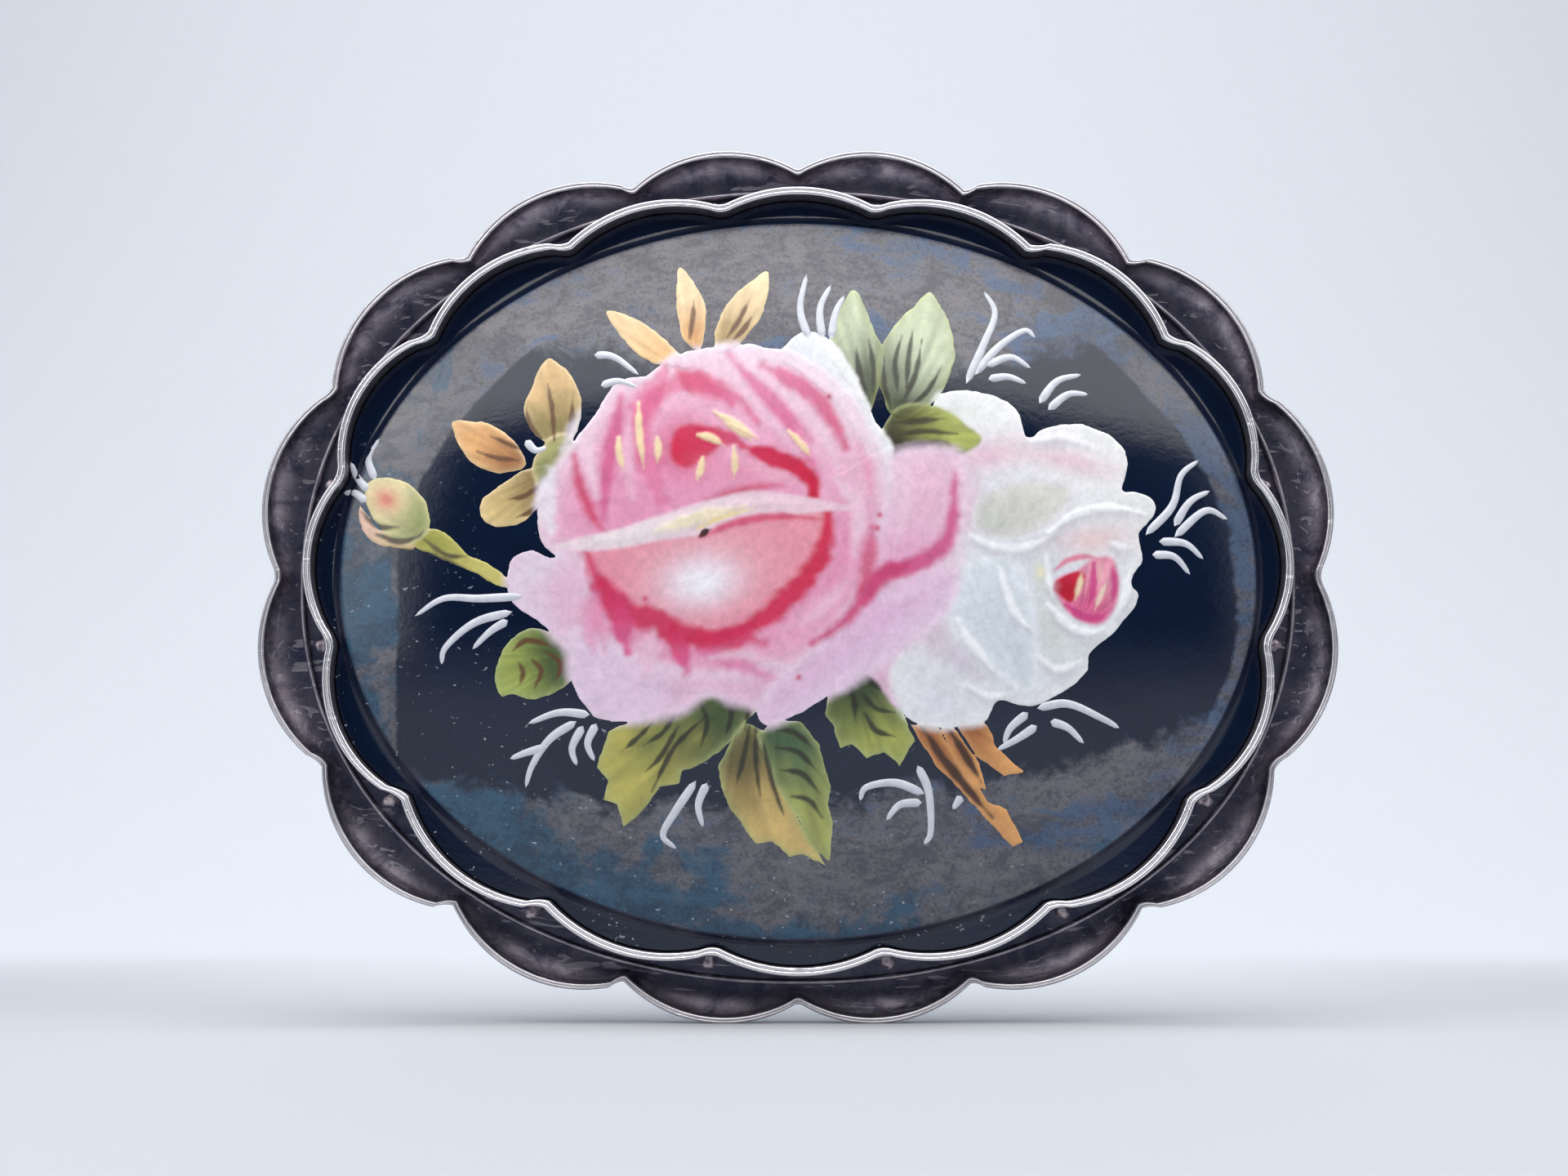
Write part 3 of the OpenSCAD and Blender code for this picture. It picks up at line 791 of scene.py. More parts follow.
# Leaves over the two roses, cream at the tips and almost black at the stalks, and the serrated
# leaves under them, green at the stalks and yellow at the tips.
LEAVES = [
    ([(1.3, 10.2), (1.8, 12.0), (2.5, 13.1), (3.1, 12.2), (3.5, 11.2), (3.9, 10.3), (3.8, 9.0),
      (3.2, 7.4), (2.5, 8.4), (1.8, 9.4)], (50, 60, 34), LEAF_CREAM, (3.4, 7.6), (2.4, 11.6), False),
    ([(3.6, 10.0), (4.3, 11.4), (5.2, 12.3), (6.0, 13.0), (6.7, 11.9), (7.1, 10.6), (6.9, 9.2),
      (6.3, 8.1), (5.2, 7.2), (4.2, 7.4), (3.7, 8.6)], (44, 52, 28), LEAF_CREAM, (4.4, 7.0), (5.6, 10.6),
     False),
    ([(-2.0, -4.9), (-1.7, -6.0), (-3.1, -7.6), (-4.2, -8.5), (-5.2, -8.9), (-5.3, -9.5),
      (-6.2, -9.6), (-6.7, -10.4), (-7.9, -11.5), (-8.2, -10.4), (-8.8, -10.2), (-8.6, -9.3),
      (-9.1, -8.7), (-8.6, -7.0), (-7.2, -6.4), (-5.4, -5.9), (-4.1, -5.2)],
     (62, 80, 42), (176, 168, 84), (-3.4, -6.0), (-7.8, -9.2), True),
    ([(-3.1, -7.6), (-2.4, -6.6), (-1.4, -7.0), (-0.8, -9.0), (0.0, -11.0), (1.4, -13.3),
      (0.2, -12.7), (-0.4, -12.8), (-1.2, -12.1), (-1.9, -12.2), (-2.5, -11.4), (-3.1, -10.6),
      (-3.5, -9.6), (-3.6, -8.6)], (92, 84, 46), (206, 176, 108), (-2.2, -7.4), (-0.8, -11.2), True),
    ([(-1.2, -6.5), (0.1, -6.6), (1.0, -7.6), (1.3, -8.8), (1.55, -9.6), (1.4, -10.4), (1.6, -11.2),
      (1.5, -13.2), (0.6, -12.2), (0.0, -11.0), (-1.0, -9.4), (-1.6, -8.0), (-1.8, -7.2)],
     (58, 84, 54), (156, 160, 84), (-0.6, -7.2), (0.9, -11.6), True),
    ([(1.5, -4.8), (2.6, -4.0), (3.6, -3.9), (4.5, -4.8), (4.7, -6.1), (5.3, -7.5), (4.6, -8.7),
      (3.9, -8.0), (3.1, -8.3), (2.4, -7.7), (1.9, -7.8), (1.6, -6.9), (1.2, -6.4), (1.3, -5.6)],
     (50, 68, 36), (156, 162, 80), (2.8, -4.8), (4.4, -7.8), True),
    ([(-13.7, -4.9), (-13.6, -4.0), (-13.0, -2.9), (-11.9, -2.3), (-10.6, -2.9), (-10.0, -4.2),
      (-10.6, -5.1), (-11.8, -5.6), (-12.9, -5.4), (-13.4, -5.5)], (70, 90, 46), (160, 172, 84),
     (-10.8, -3.8), (-13.0, -4.6), False),
]
for outline, base, tip, start, end, serrated in LEAVES:
    art.petal(outline, base, tip, start, end, edge=LEAF_EDGE, edge_wide=0.16, streak=0.2,
              sharp=serrated)
LEAF_SHADES = [
    ((4.3, 9.0), (0.6, 1.8), (48, 58, 36), 15),
    ((3.0, 8.9), (0.6, 1.5), (54, 64, 42), 0),
    ((-6.6, -7.6), (1.4, 0.5), (84, 104, 48), 45),
    ((0.2, -8.8), (0.6, 1.6), (74, 106, 70), 20),
    ((-2.4, -9.2), (0.5, 1.4), (96, 86, 44), 15),
]
for middle, size, colour, angle in LEAF_SHADES:
    art.glow(middle, size, colour, 0.6, angle)
SPRAY_VEINS = [
    [(-4.9, 10.8), (-4.75, 11.8), (-4.7, 12.6)], [(-3.2, 10.9), (-2.7, 11.6), (-2.2, 12.6)],
    [(-2.9, 10.8), (-2.5, 11.2), (-2.1, 11.8)], [(-11.0, 6.2), (-11.1, 7.6), (-11.3, 8.8)],
    [(-10.4, 6.3), (-10.2, 7.2), (-10.2, 8.2)], [(-11.6, 6.3), (-12.1, 6.9), (-12.3, 7.8)],
    [(-12.6, 5.3), (-13.6, 5.4), (-14.5, 5.7)], [(-12.5, 5.8), (-13.2, 6.1), (-13.9, 6.4)],
    [(-11.6, 4.2), (-12.3, 3.7), (-13.1, 3.5)], [(-11.3, 3.7), (-12.0, 3.0), (-12.7, 2.7)],
]
LEAF_VEINS = [
    [(3.2, 8.0), (2.8, 9.2), (2.6, 10.6)], [(2.9, 8.0), (2.2, 9.0), (1.8, 10.0)],
    [(3.4, 8.4), (3.4, 9.6), (3.2, 10.8)], [(4.2, 7.6), (3.9, 8.8), (3.9, 10.0)],
    [(4.7, 7.9), (5.3, 9.2), (5.6, 10.8)], [(4.5, 8.4), (4.4, 9.8), (4.7, 11.0)],
    [(5.0, 7.7), (5.9, 8.5), (6.5, 9.6)], [(4.9, 8.6), (5.0, 10.0), (5.2, 11.3)],
    [(-2.6, -5.2), (-2.2, -5.9), (-2.4, -7.0)], [(-3.4, -5.4), (-3.0, -6.2), (-3.3, -7.4)],
    [(-4.4, -5.8), (-4.1, -6.6), (-4.4, -7.8)], [(-5.5, -6.2), (-6.1, -7.1), (-7.0, -7.7)],
    [(-5.4, -6.8), (-6.2, -8.2), (-6.9, -8.9)], [(-6.6, -6.7), (-7.3, -7.4), (-8.0, -8.0)],
    [(-4.2, -6.4), (-5.6, -7.8), (-6.6, -9.8)], [(-2.2, -6.8), (-2.4, -8.0), (-2.8, -9.6)],
    [(-1.9, -6.9), (-1.9, -8.4), (-1.7, -10.0)], [(-1.6, -7.4), (-1.2, -9.2), (-0.6, -11.0)],
    [(-1.0, -7.0), (-0.2, -7.1), (0.7, -7.8)], [(-1.0, -7.8), (0.0, -8.0), (0.9, -8.9)],
    [(-0.8, -8.8), (0.2, -9.0), (1.0, -9.9)], [(-0.3, -10.0), (0.5, -10.2), (1.1, -11.0)],
    [(2.0, -4.9), (2.5, -5.5), (2.6, -6.6)], [(3.0, -4.5), (3.5, -5.0), (4.3, -5.2)],
    [(2.9, -5.3), (3.5, -6.0), (4.4, -6.2)], [(3.0, -6.2), (3.5, -7.0), (4.4, -7.3)],
]
SMALL_LEAF_VEINS = [
    [(-12.9, -3.4), (-12.2, -2.9), (-11.0, -3.2)], [(-11.4, -3.4), (-10.7, -4.0), (-11.0, -4.9)],
    [(-12.0, -3.8), (-11.6, -4.3), (-11.9, -5.1)], [(-12.6, -3.9), (-12.4, -4.4), (-12.6, -5.0)],
]
for veins, ink in (SPRAY_VEINS, SEPIA), (LEAF_VEINS, INK), (SMALL_LEAF_VEINS, SEPIA):
    for vein in veins:
        art.stroke(vein, 0.24, ink, soft=0.05, strength=0.9, taper=(0.35, 0.15))

# Thorny brown stems below the white rose.
STEMS = [
    ([(5.0, -6.7), (6.3, -6.8), (7.4, -8.6), (8.6, -10.2), (9.4, -10.6), (10.2, -12.1), (9.7, -12.4),
      (8.6, -11.2), (7.4, -9.9), (6.2, -8.6)], (5.6, -7.0), (9.8, -12.0)),
    ([(6.4, -6.9), (7.1, -6.9), (8.2, -8.5), (8.5, -9.7), (7.9, -9.6), (7.0, -8.2)],
     (6.6, -7.0), (8.3, -9.6)),
    ([(7.2, -6.8), (8.4, -6.5), (9.0, -7.7), (10.2, -8.9), (9.3, -9.1), (8.0, -8.2)],
     (7.6, -6.9), (9.8, -9.0)),
]
for outline, start, end in STEMS:
    art.petal(outline, (148, 84, 38), (214, 152, 90), start, end, edge=(222, 164, 104), edge_wide=0.15,
              sharp=True, streak=0.2)
BARK = [
    [(5.6, -6.9), (6.6, -8.3), (8.0, -9.9)], [(6.8, -6.9), (7.6, -8.2), (8.3, -9.4)],
    [(6.2, -8.0), (7.4, -9.4), (8.8, -11.0)],
]
for points in BARK:
    art.stroke(points, 0.32, (66, 34, 16), soft=0.08)

# The rosebud at the left, on its yellow-green stalk.
art.petal([(-17.45, 1.5), (-16.9, 2.1), (-16.2, 2.15), (-15.5, 1.6), (-14.9, 1.0), (-14.0, 0.6),
           (-13.0, -0.2), (-13.3, -0.5), (-14.6, 0.1), (-15.5, 0.5), (-16.6, 1.0)], (150, 150, 62),
          (204, 194, 112), (-16.6, 1.5), (-13.4, -0.2), edge=(200, 190, 104), edge_wide=0.15)
art.petal([(-19.8, 3.2), (-19.75, 2.2), (-19.2, 1.55), (-18.3, 1.3), (-17.3, 1.2), (-17.6, 1.9),
           (-18.9, 2.2), (-19.5, 2.9)], (200, 178, 132), (224, 186, 166), (-17.6, 1.4), (-19.6, 2.8))
art.petal([(-19.4, 4.3), (-18.65, 4.55), (-17.8, 4.35), (-17.15, 3.85), (-16.7, 3.2), (-16.6, 2.45),
           (-16.85, 1.85), (-17.6, 1.55), (-18.35, 1.8), (-19.1, 2.45), (-19.45, 3.1), (-19.55, 3.8)],
          (124, 138, 78), (226, 210, 162), (-17.0, 2.0), (-19.0, 3.9), edge=(212, 206, 152), edge_wide=0.2)
art.glow((-18.6, 3.5), (0.6, 0.5), (214, 112, 104), 0.9, turn=-30)
BUD_VEINS = [
    [(-19.7, 2.95), (-19.0, 2.3), (-18.0, 2.25)],
    [(-19.0, 1.9), (-18.0, 1.6), (-17.2, 1.8), (-16.9, 2.1)],
    [(-18.4, 1.3), (-16.6, 0.95), (-15.2, 0.35), (-13.9, -0.25)],
    [(-16.9, 1.7), (-15.9, 1.0), (-14.9, 0.9)],
]
for vein in BUD_VEINS:
    art.stroke(vein, 0.26, (62, 54, 40), soft=0.08, strength=0.9)

# The ground of both roses, laid first in pale pink so that no glaze shows between their petals.
art.petal([(3.4, 5.6), (6.2, 6.2), (8.6, 5.0), (8.0, 2.0), (8.0, -2.0), (6.4, -5.6), (4.6, -6.0),
           (3.4, -4.6), (1.0, -3.0), (0.6, 3.0)], (226, 186, 210), PALE_PINK, (4.0, 0.0), (8.0, 4.0))

# The white rose: a ruffled ring of petals, folded lips, and a small crimson heart.
art.petal([(6.4, 8.3), (7.8, 8.5), (9.1, 8.2), (10.0, 7.4), (10.4, 6.4), (11.2, 6.8), (12.5, 7.0),
           (13.8, 6.6), (14.6, 6.0), (14.9, 5.1), (14.7, 4.0), (15.3, 3.9), (16.1, 3.5), (16.1, 2.8),
           (15.4, 1.9), (15.6, 0.8), (15.1, -0.2), (15.4, -0.9), (15.0, -1.7), (14.2, -2.65),
           (13.2, -3.5), (13.05, -4.3), (12.1, -5.2), (10.6, -5.9), (9.1, -5.7), (8.5, -6.6),
           (6.8, -6.9), (5.5, -6.8), (4.6, -5.9), (4.2, -4.2), (5.4, -2.2), (6.2, -0.6), (6.9, 1.4),
           (7.1, 3.6), (6.4, 5.4), (5.8, 6.4), (6.0, 7.4)],
          (220, 222, 230), WHITE, (9.4, 1.0), (13.0, 6.6), edge=WHITE, edge_wide=0.8, streak=0.02,
          soft=0.3)
SHADES = [
    ((8.4, 5.5), (2.2, 0.8), (222, 184, 200), 0.85, 8),
    ((12.2, 5.3), (2.4, 0.6), (222, 190, 202), 0.85, -14),
    ((7.7, 3.2), (0.6, 1.6), (224, 184, 204), 0.8, -6),
    ((7.0, 0.6), (0.6, 1.6), (228, 196, 214), 0.7, 8),
    ((5.6, -2.2), (1.6, 1.0), (214, 184, 204), 0.85, -40),
    ((7.4, -3.9), (1.4, 0.5), (206, 192, 208), 0.7, -38),
    ((6.4, -5.8), (1.6, 0.7), (224, 220, 232), 0.6, -10),
    ((11.5, -2.3), (0.9, 1.5), (206, 212, 204), 0.8, 10),
    ((13.3, 1.7), (1.9, 0.75), (228, 200, 200), 0.85, 4),
    ((10.9, 0.2), (0.4, 1.2), (206, 210, 200), 0.7, 8),
    ((7.0, 7.3), (1.2, 0.5), (212, 214, 206), 0.6, 10),
    ((12.6, -3.3), (1.3, 0.8), (212, 218, 216), 0.6, 30),
    ((14.6, 3.3), (1.2, 0.25), (212, 212, 214), 0.6, 0),
    ((9.4, -4.9), (1.4, 0.5), (208, 212, 218), 0.6, -30),
    ((11.0, 0.2), (0.25, 0.3), (240, 232, 190), 0.8, 0),
    ((11.4, 6.1), (1.4, 0.3), (208, 206, 214), 0.5, 4),
]
for middle, size, colour, strength, angle in SHADES:
    art.glow(middle, size, colour, strength, angle)
art.petal([(7.9, 2.6), (8.2, 3.6), (9.4, 4.2), (10.8, 4.4), (12.3, 4.0), (12.0, 3.0), (10.9, 2.1),
           (9.6, 1.7), (8.4, 1.9)], (196, 198, 190), (216, 214, 206), (9.0, 1.9), (10.8, 4.2),
          edge=(226, 222, 228), edge_wide=0.3, streak=0.04, raised=0, soft=0.25)
art.petal([(8.6, 0.9), (7.3, 0.2), (6.8, -1.0), (7.1, -2.4), (8.1, -3.5), (9.3, -4.6), (10.5, -5.1),
           (10.8, -3.4), (10.6, -1.4), (9.9, 0.6)], (218, 226, 234), (206, 214, 222), (8.0, 0.4),
          (10.4, -3.6), edge=(234, 238, 244), edge_wide=0.3, streak=0.05, raised=0, soft=0.3)
art.petal([(11.5, -0.36), (12.0, 0.05), (12.6, 0.25), (13.3, 0.75), (14.1, 0.85), (14.45, 0.1),
           (14.4, -1.1), (13.9, -2.0), (13.2, -2.15), (12.3, -1.7), (11.75, -0.95)], (212, 96, 140),
          (230, 160, 178), (12.9, -1.8), (13.6, 0.8), edge=(224, 140, 168), edge_wide=0.2, streak=0.2,
          raised=0, soft=0.16)
art.petal([(11.5, -0.35), (12.5, 0.2), (12.95, 0.0), (12.7, -0.7), (12.3, -1.15), (11.8, -0.8)],
          DEEP, (206, 30, 68), (12.3, -0.6), (12.6, 0.6), raised=0, soft=0.1)
HEART_STROKES = [
    ([(12.1, -1.3), (12.8, -1.8), (13.6, -1.9), (14.1, -1.4)], MAGENTA, 0.35),
    ([(13.35, 0.6), (13.35, -0.4), (13.1, -1.5)], MAGENTA, 0.35),
    ([(14.2, 0.4), (14.3, -0.4), (14.2, -1.2)], MAGENTA, 0.3),
    ([(13.9, -0.3), (13.7, -0.8), (13.4, -1.5)], (240, 220, 200), 0.26),
    ([(12.8, 0.1), (12.7, -0.5), (12.5, -1.05)], (240, 222, 190), 0.24),
    ([(13.7, 0.6), (13.65, 0.2), (13.6, -0.3)], (236, 176, 180), 0.25),
    ([(11.6, 0.3), (12.2, 0.75), (13.0, 0.9), (13.9, 0.7)], (224, 120, 150), 0.25),
]
for points, colour, width in HEART_STROKES:
    art.stroke(points, width, colour, soft=0.1, strength=0.9)
HIGH_FOLDS = [
    [(11.3, 2.0), (11.9, 2.4), (12.6, 2.85), (13.6, 3.1), (14.75, 3.05), (15.7, 2.8)],
    [(7.2, -2.0), (7.7, -2.9), (8.3, -3.6), (8.8, -4.3)],
    [(9.1, 0.4), (9.5, -0.9), (10.0, -1.9), (10.6, -2.5)],
    [(11.3, -1.3), (12.3, -2.3), (13.2, -2.6), (13.8, -2.4)],
    [(15.0, 0.2), (14.85, -0.8), (14.4, -1.8)],
]
LOW_FOLDS = [
    [(7.8, 1.9), (8.7, 1.45), (9.85, 1.3), (10.9, 1.6), (11.6, 2.1)],
    [(11.2, 1.0), (11.3, 0.2), (11.5, -0.9)], [(14.1, 1.55), (14.6, 1.4), (15.1, 1.3)],
    [(10.8, -3.6), (11.8, -4.2), (12.8, -3.8)], [(10.6, 6.2), (12.0, 6.4), (13.4, 5.9)],
    [(7.6, -4.9), (8.6, -5.4), (9.6, -5.3)],
]
for folds, width, high in (HIGH_FOLDS, 0.36, 0.05), (LOW_FOLDS, 0.3, 0.012):
    for fold in folds:
        under = [(a + 0.1, b - 0.3) for a, b in fold]
        art.stroke(under, 0.5, (192, 188, 198), soft=0.25, strength=0.45)
        art.stroke(fold, width, (246, 247, 250), soft=0.13, strength=0.9, raise_by=high)

# A leaf between the two roses, over the edge of the white one.
art.petal([(4.0, 7.1), (4.7, 7.8), (5.9, 7.8), (7.0, 7.4), (7.5, 6.95), (8.3, 6.25), (7.3, 5.6), (5.7, 5.5),
           (4.4, 5.4), (3.7, 6.2)], (52, 50, 26), (170, 178, 92), (4.3, 6.4), (7.4, 6.4),
          edge=(150, 160, 96), edge_wide=0.12, streak=0.2)
art.glow((5.3, 6.0), (1.3, 0.3), (30, 26, 18), 0.9, -4)
MIDDLE_LEAF_VEINS = [
    [(4.4, 7.0), (5.6, 7.1), (6.6, 7.2)], [(4.6, 6.5), (5.8, 6.6), (7.2, 6.5)],
    [(4.6, 5.9), (6.0, 6.1), (7.4, 5.9)],
]
for vein in MIDDLE_LEAF_VEINS:
    art.stroke(vein, 0.26, (40, 36, 20), soft=0.08, strength=0.85, taper=(0.5, 0.1))

# The large pink rose: outer petals first, then the cup, its turned lip and the heart.
art.petal([(-0.9, 10.0), (-0.2, 10.9), (0.4, 11.2), (1.3, 10.9), (2.2, 9.8), (2.9, 8.5), (3.6, 7.0),
           (4.3, 5.7), (3.8, 4.6), (2.0, 7.4), (0.4, 9.0)], (214, 218, 228), WHITE, (0.8, 8.6),
          (2.4, 9.6), edge=WHITE, streak=0.02)
art.petal([(-10.0, 6.3), (-8.9, 7.9), (-8.2, 8.9), (-6.9, 9.2), (-5.9, 9.9), (-4.6, 10.4), (-3.0, 10.6),
           (-1.4, 10.5), (0.6, 9.8), (2.4, 8.2), (3.6, 6.2), (4.4, 4.0), (4.5, 1.8), (3.8, -0.6),
           (2.2, -3.0), (-0.6, -4.6), (-4.0, -5.4), (-7.0, -5.0), (-9.2, -3.6), (-10.2, -1.6),
           (-10.8, 0.6), (-11.6, 1.6), (-11.8, 3.1), (-11.1, 4.8)],
          (226, 150, 184), (232, 196, 214), (-3.0, 3.4), (0.6, 10.6), edge=(232, 222, 232), edge_wide=0.8,
          soft=0.3, streak=0.02)
OUTER_PETALS = [
    ([(4.3, 5.5), (5.6, 5.9), (7.2, 5.7), (7.7, 4.2), (7.4, 2.4), (6.8, 0.6), (4.8, -0.5),
      (3.2, -0.5), (3.3, 1.4), (4.0, 3.4)], (226, 164, 198), (230, 186, 210), (4.4, 0.2), (5.4, 4.4)),
    ([(-13.2, -0.3), (-12.9, 0.9), (-12.0, 1.2), (-11.0, 0.9), (-9.6, 1.0), (-9.2, -1.0),
      (-9.4, -2.8), (-10.4, -3.3), (-11.6, -2.2), (-12.8, -1.4)], (226, 178, 204), (222, 200, 220),
     (-9.6, -0.6), (-12.4, -0.4)),
    ([(-10.2, -2.4), (-8.4, -3.0), (-6.0, -4.0), (-3.4, -4.4), (-1.0, -4.0), (0.0, -4.8), (-1.4, -5.9),
      (-2.9, -5.8), (-4.0, -5.4), (-5.2, -6.2), (-7.0, -6.6), (-8.8, -6.6), (-9.9, -5.6), (-10.4, -4.0)],
     (224, 170, 200), (224, 198, 222), (-4.4, -3.4), (-8.0, -5.4)),
    ([(7.0, 0.4), (7.0, -1.2), (5.4, -2.8), (3.8, -4.1), (1.8, -5.3), (0.0, -6.3), (-1.4, -6.8),
      (-1.9, -6.0), (-1.0, -4.8), (0.4, -3.6), (2.0, -1.8), (4.0, -0.2)],
     (222, 174, 208), (222, 192, 220), (2.0, -2.0), (3.6, -4.0)),
]
for outline, base, tip, start, end in OUTER_PETALS:
    art.petal(outline, base, tip, start, end, edge=(230, 208, 226), edge_wide=0.6, soft=0.4, streak=0.02,
              raised=0.01)
art.petal([(-9.4, 0.96), (-6.4, 1.7), (-4.0, 2.2), (-2.0, 2.8), (0.4, 3.0), (1.4, 2.6), (1.1, 1.0),
           (-0.1, -0.6), (-1.9, -2.1), (-4.0, -2.8), (-5.8, -2.3), (-7.7, -1.6), (-8.8, -0.4)],
          (226, 140, 162), (228, 150, 165), (-4.2, -2.8), (-3.0, 3.0), streak=0.01, raised=0, soft=0.3)
art.glow((-4.4, 0.0), (3.0, 1.9), (230, 178, 190), 0.85, turn=8)
art.glow((-4.4, -0.2), (2.0, 1.35), (232, 206, 218), 0.9, turn=8)
art.glow((-4.33, -0.25), (1.4, 0.95), (240, 238, 246), 1.0, turn=8)
SHADOWS = [
    ([(1.35, 3.0), (1.3, 2.0), (1.0, 0.9), (-0.1, -0.6), (-1.9, -2.1), (-4.0, -2.8)], 0.95, (206, 30, 72),
     (204, 40, 84), 0.95),
    ([(-9.5, 1.1), (-9.0, -0.3), (-7.9, -1.5), (-6.4, -2.1), (-5.2, -2.6), (-3.6, -2.8), (-2.2, -2.3)], 1.1,
     (204, 54, 96), (200, 34, 80), 0.95),
    ([(-5.0, -2.8), (-3.6, -3.1), (-2.4, -2.8), (-1.6, -3.0)], 1.0, CRIMSON, (206, 50, 96), 0.85),
    ([(7.1, 4.6), (7.0, 2.9), (6.6, 1.5), (5.2, 0.5), (3.8, 0.1), (2.9, -1.1), (1.8, -2.3), (0.6, -3.0)],
     0.75, (206, 84, 140), (200, 56, 108), 0.9),
    ([(4.9, 0.5), (3.7, -0.1), (3.0, -1.2)], 0.8, (200, 60, 110), (204, 70, 120), 0.8),
    ([(3.36, 2.2), (3.25, 1.0), (3.0, -0.2), (2.7, -0.9)], 0.65, (208, 90, 130), (204, 60, 104), 0.85),
    ([(-8.8, -0.4), (-8.1, -1.8), (-7.7, -3.4)], 1.1, CRIMSON, ROSE, 0.9),
    ([(-9.6, -1.2), (-9.4, -2.4), (-9.2, -3.4)], 0.7, PINK, (222, 140, 180), 0.7),
    ([(-9.3, -0.2), (-9.1, -1.8), (-8.7, -3.4)], 0.6, ROSE, PINK, 0.6),
    ([(-5.7, -2.4), (-5.3, -3.4), (-5.05, -4.3)], 0.9, CRIMSON, ROSE, 0.9),
    ([(-4.5, -3.4), (-2.8, -3.9), (-1.2, -4.6)], 0.7, (215, 110, 160), (218, 130, 174), 0.75),
    ([(-10.1, 5.5), (-9.8, 4.0), (-9.1, 2.5), (-8.6, 1.9)], 0.5, (196, 50, 100), CRIMSON, 0.85),
    ([(-8.0, 8.1), (-8.3, 6.3), (-8.7, 4.4), (-8.8, 2.6)], 0.75, (204, 70, 124), (206, 84, 138), 0.8),
    ([(-6.0, 9.3), (-6.9, 7.4), (-6.7, 5.2), (-6.1, 3.4)], 1.5, (220, 104, 148), (222, 120, 160), 0.7),
    ([(-7.2, 5.4), (-7.2, 7.0), (-6.2, 8.4), (-4.6, 8.9), (-2.8, 8.2), (-1.8, 7.0)], 0.7, (216, 90, 136),
     (210, 70, 120), 0.7),
    ([(-5.4, 9.3), (-4.4, 8.7), (-3.0, 7.9)], 1.2, (206, 50, 100), (214, 90, 136), 0.8),
    ([(-3.1, 10.1), (-1.9, 8.5), (-0.3, 6.8), (0.9, 4.7)], 0.55, MAGENTA, ROSE, 0.75),
    ([(-1.6, 9.6), (0.4, 8.6), (1.5, 7.2), (2.2, 5.9)], 0.85, (214, 96, 144), (204, 60, 108), 0.85),
    ([(-2.2, 9.2), (-0.8, 7.9), (0.6, 6.2)], 0.3, ROSE, MAGENTA, 0.7),
    ([(2.6, 6.6), (3.1, 5.2), (3.3, 3.8)], 0.5, PINK, ROSE, 0.5),
    ([(-4.1, 3.4), (-2.6, 3.95), (-0.7, 4.2)], 0.3, (190, 40, 76), CRIMSON, 0.85),
    ([(1.6, 4.2), (2.3, 2.8), (2.2, 1.2), (1.4, -0.4)], 0.4, PINK, (222, 130, 164), 0.6),
]
for points, width, colour, end, strength in SHADOWS:
    art.stroke(points, width, colour, end, soft=0.26, strength=strength, taper=(0.35, 0.3))
LIGHTS = [
    ([(-6.5, 5.6), (-6.3, 7.2), (-5.1, 8.0), (-3.5, 7.8), (-2.4, 6.9)], 0.45, (230, 176, 200), 0.8),
    ([(-7.6, 7.4), (-7.7, 5.6), (-7.5, 3.6)], 0.5, (232, 186, 206), 0.75),
    ([(-9.3, 7.0), (-9.5, 5.6), (-9.1, 3.6)], 0.6, PALE_PINK, 0.8),
    ([(-4.4, 9.9), (-3.0, 9.3), (-1.6, 7.6), (-0.1, 5.8)], 0.4, (232, 196, 216), 0.7),
    ([(-1.4, 10.2), (0.6, 9.2), (2.2, 7.6), (3.2, 5.6)], 0.5, (236, 214, 228), 0.85),
    ([(-0.6, 8.4), (0.8, 7.0), (1.9, 5.0)], 0.45, PALE_PINK, 0.7),
    ([(1.8, 4.4), (2.7, 3.0), (2.5, 1.0)], 0.7, PALE_PINK, 0.7),
    ([(-2.4, 5.1), (-1.0, 4.6), (0.0, 4.3)], 0.5, (232, 170, 190), 0.8),
    ([(1.4, -0.9), (0.4, -1.8), (-0.6, -2.4)], 0.8, (230, 172, 200), 0.8),
    ([(2.2, -0.2), (1.4, -1.2), (0.2, -2.2)], 0.5, (232, 190, 212), 0.7),
    ([(-6.5, -2.6), (-6.8, -3.6), (-6.9, -4.4)], 0.9, (232, 190, 212), 0.85),
    ([(-3.9, -3.7), (-2.6, -3.55), (-1.4, -3.8)], 0.35, PALE_PINK, 0.75),
    ([(-11.2, 4.8), (-11.4, 3.4), (-11.1, 2.0)], 0.9, (228, 222, 232), 0.85),
    ([(-10.6, 5.8), (-9.9, 7.0), (-8.8, 8.2)], 0.6, (230, 222, 232), 0.8),
    ([(-10.8, 1.0), (-11.8, 0.4), (-12.6, -0.2)], 0.6, (226, 210, 226), 0.7),
    ([(3.6, -1.0), (4.8, -0.8), (6.2, -0.2)], 0.5, (228, 202, 224), 0.7),
    ([(4.8, 5.0), (4.9, 3.4), (4.5, 1.6)], 0.6, (234, 200, 220), 0.7),
]
for points, width, colour, strength in LIGHTS:
    art.stroke(points, width, colour, soft=0.28, strength=strength, taper=(0.3, 0.3))
art.glow((-5.0, 5.9), (1.25, 1.25), (206, 60, 104), 0.9)
art.petal([(-5.7, 5.9), (-5.4, 6.7), (-4.6, 6.9), (-3.8, 6.6), (-3.6, 6.0), (-4.3, 5.4), (-5.0, 5.0),
           (-5.6, 5.3)], (204, 20, 66), (206, 40, 86), (-5.0, 5.4), (-4.2, 6.8), raised=0, soft=0.22,
          streak=0.02)
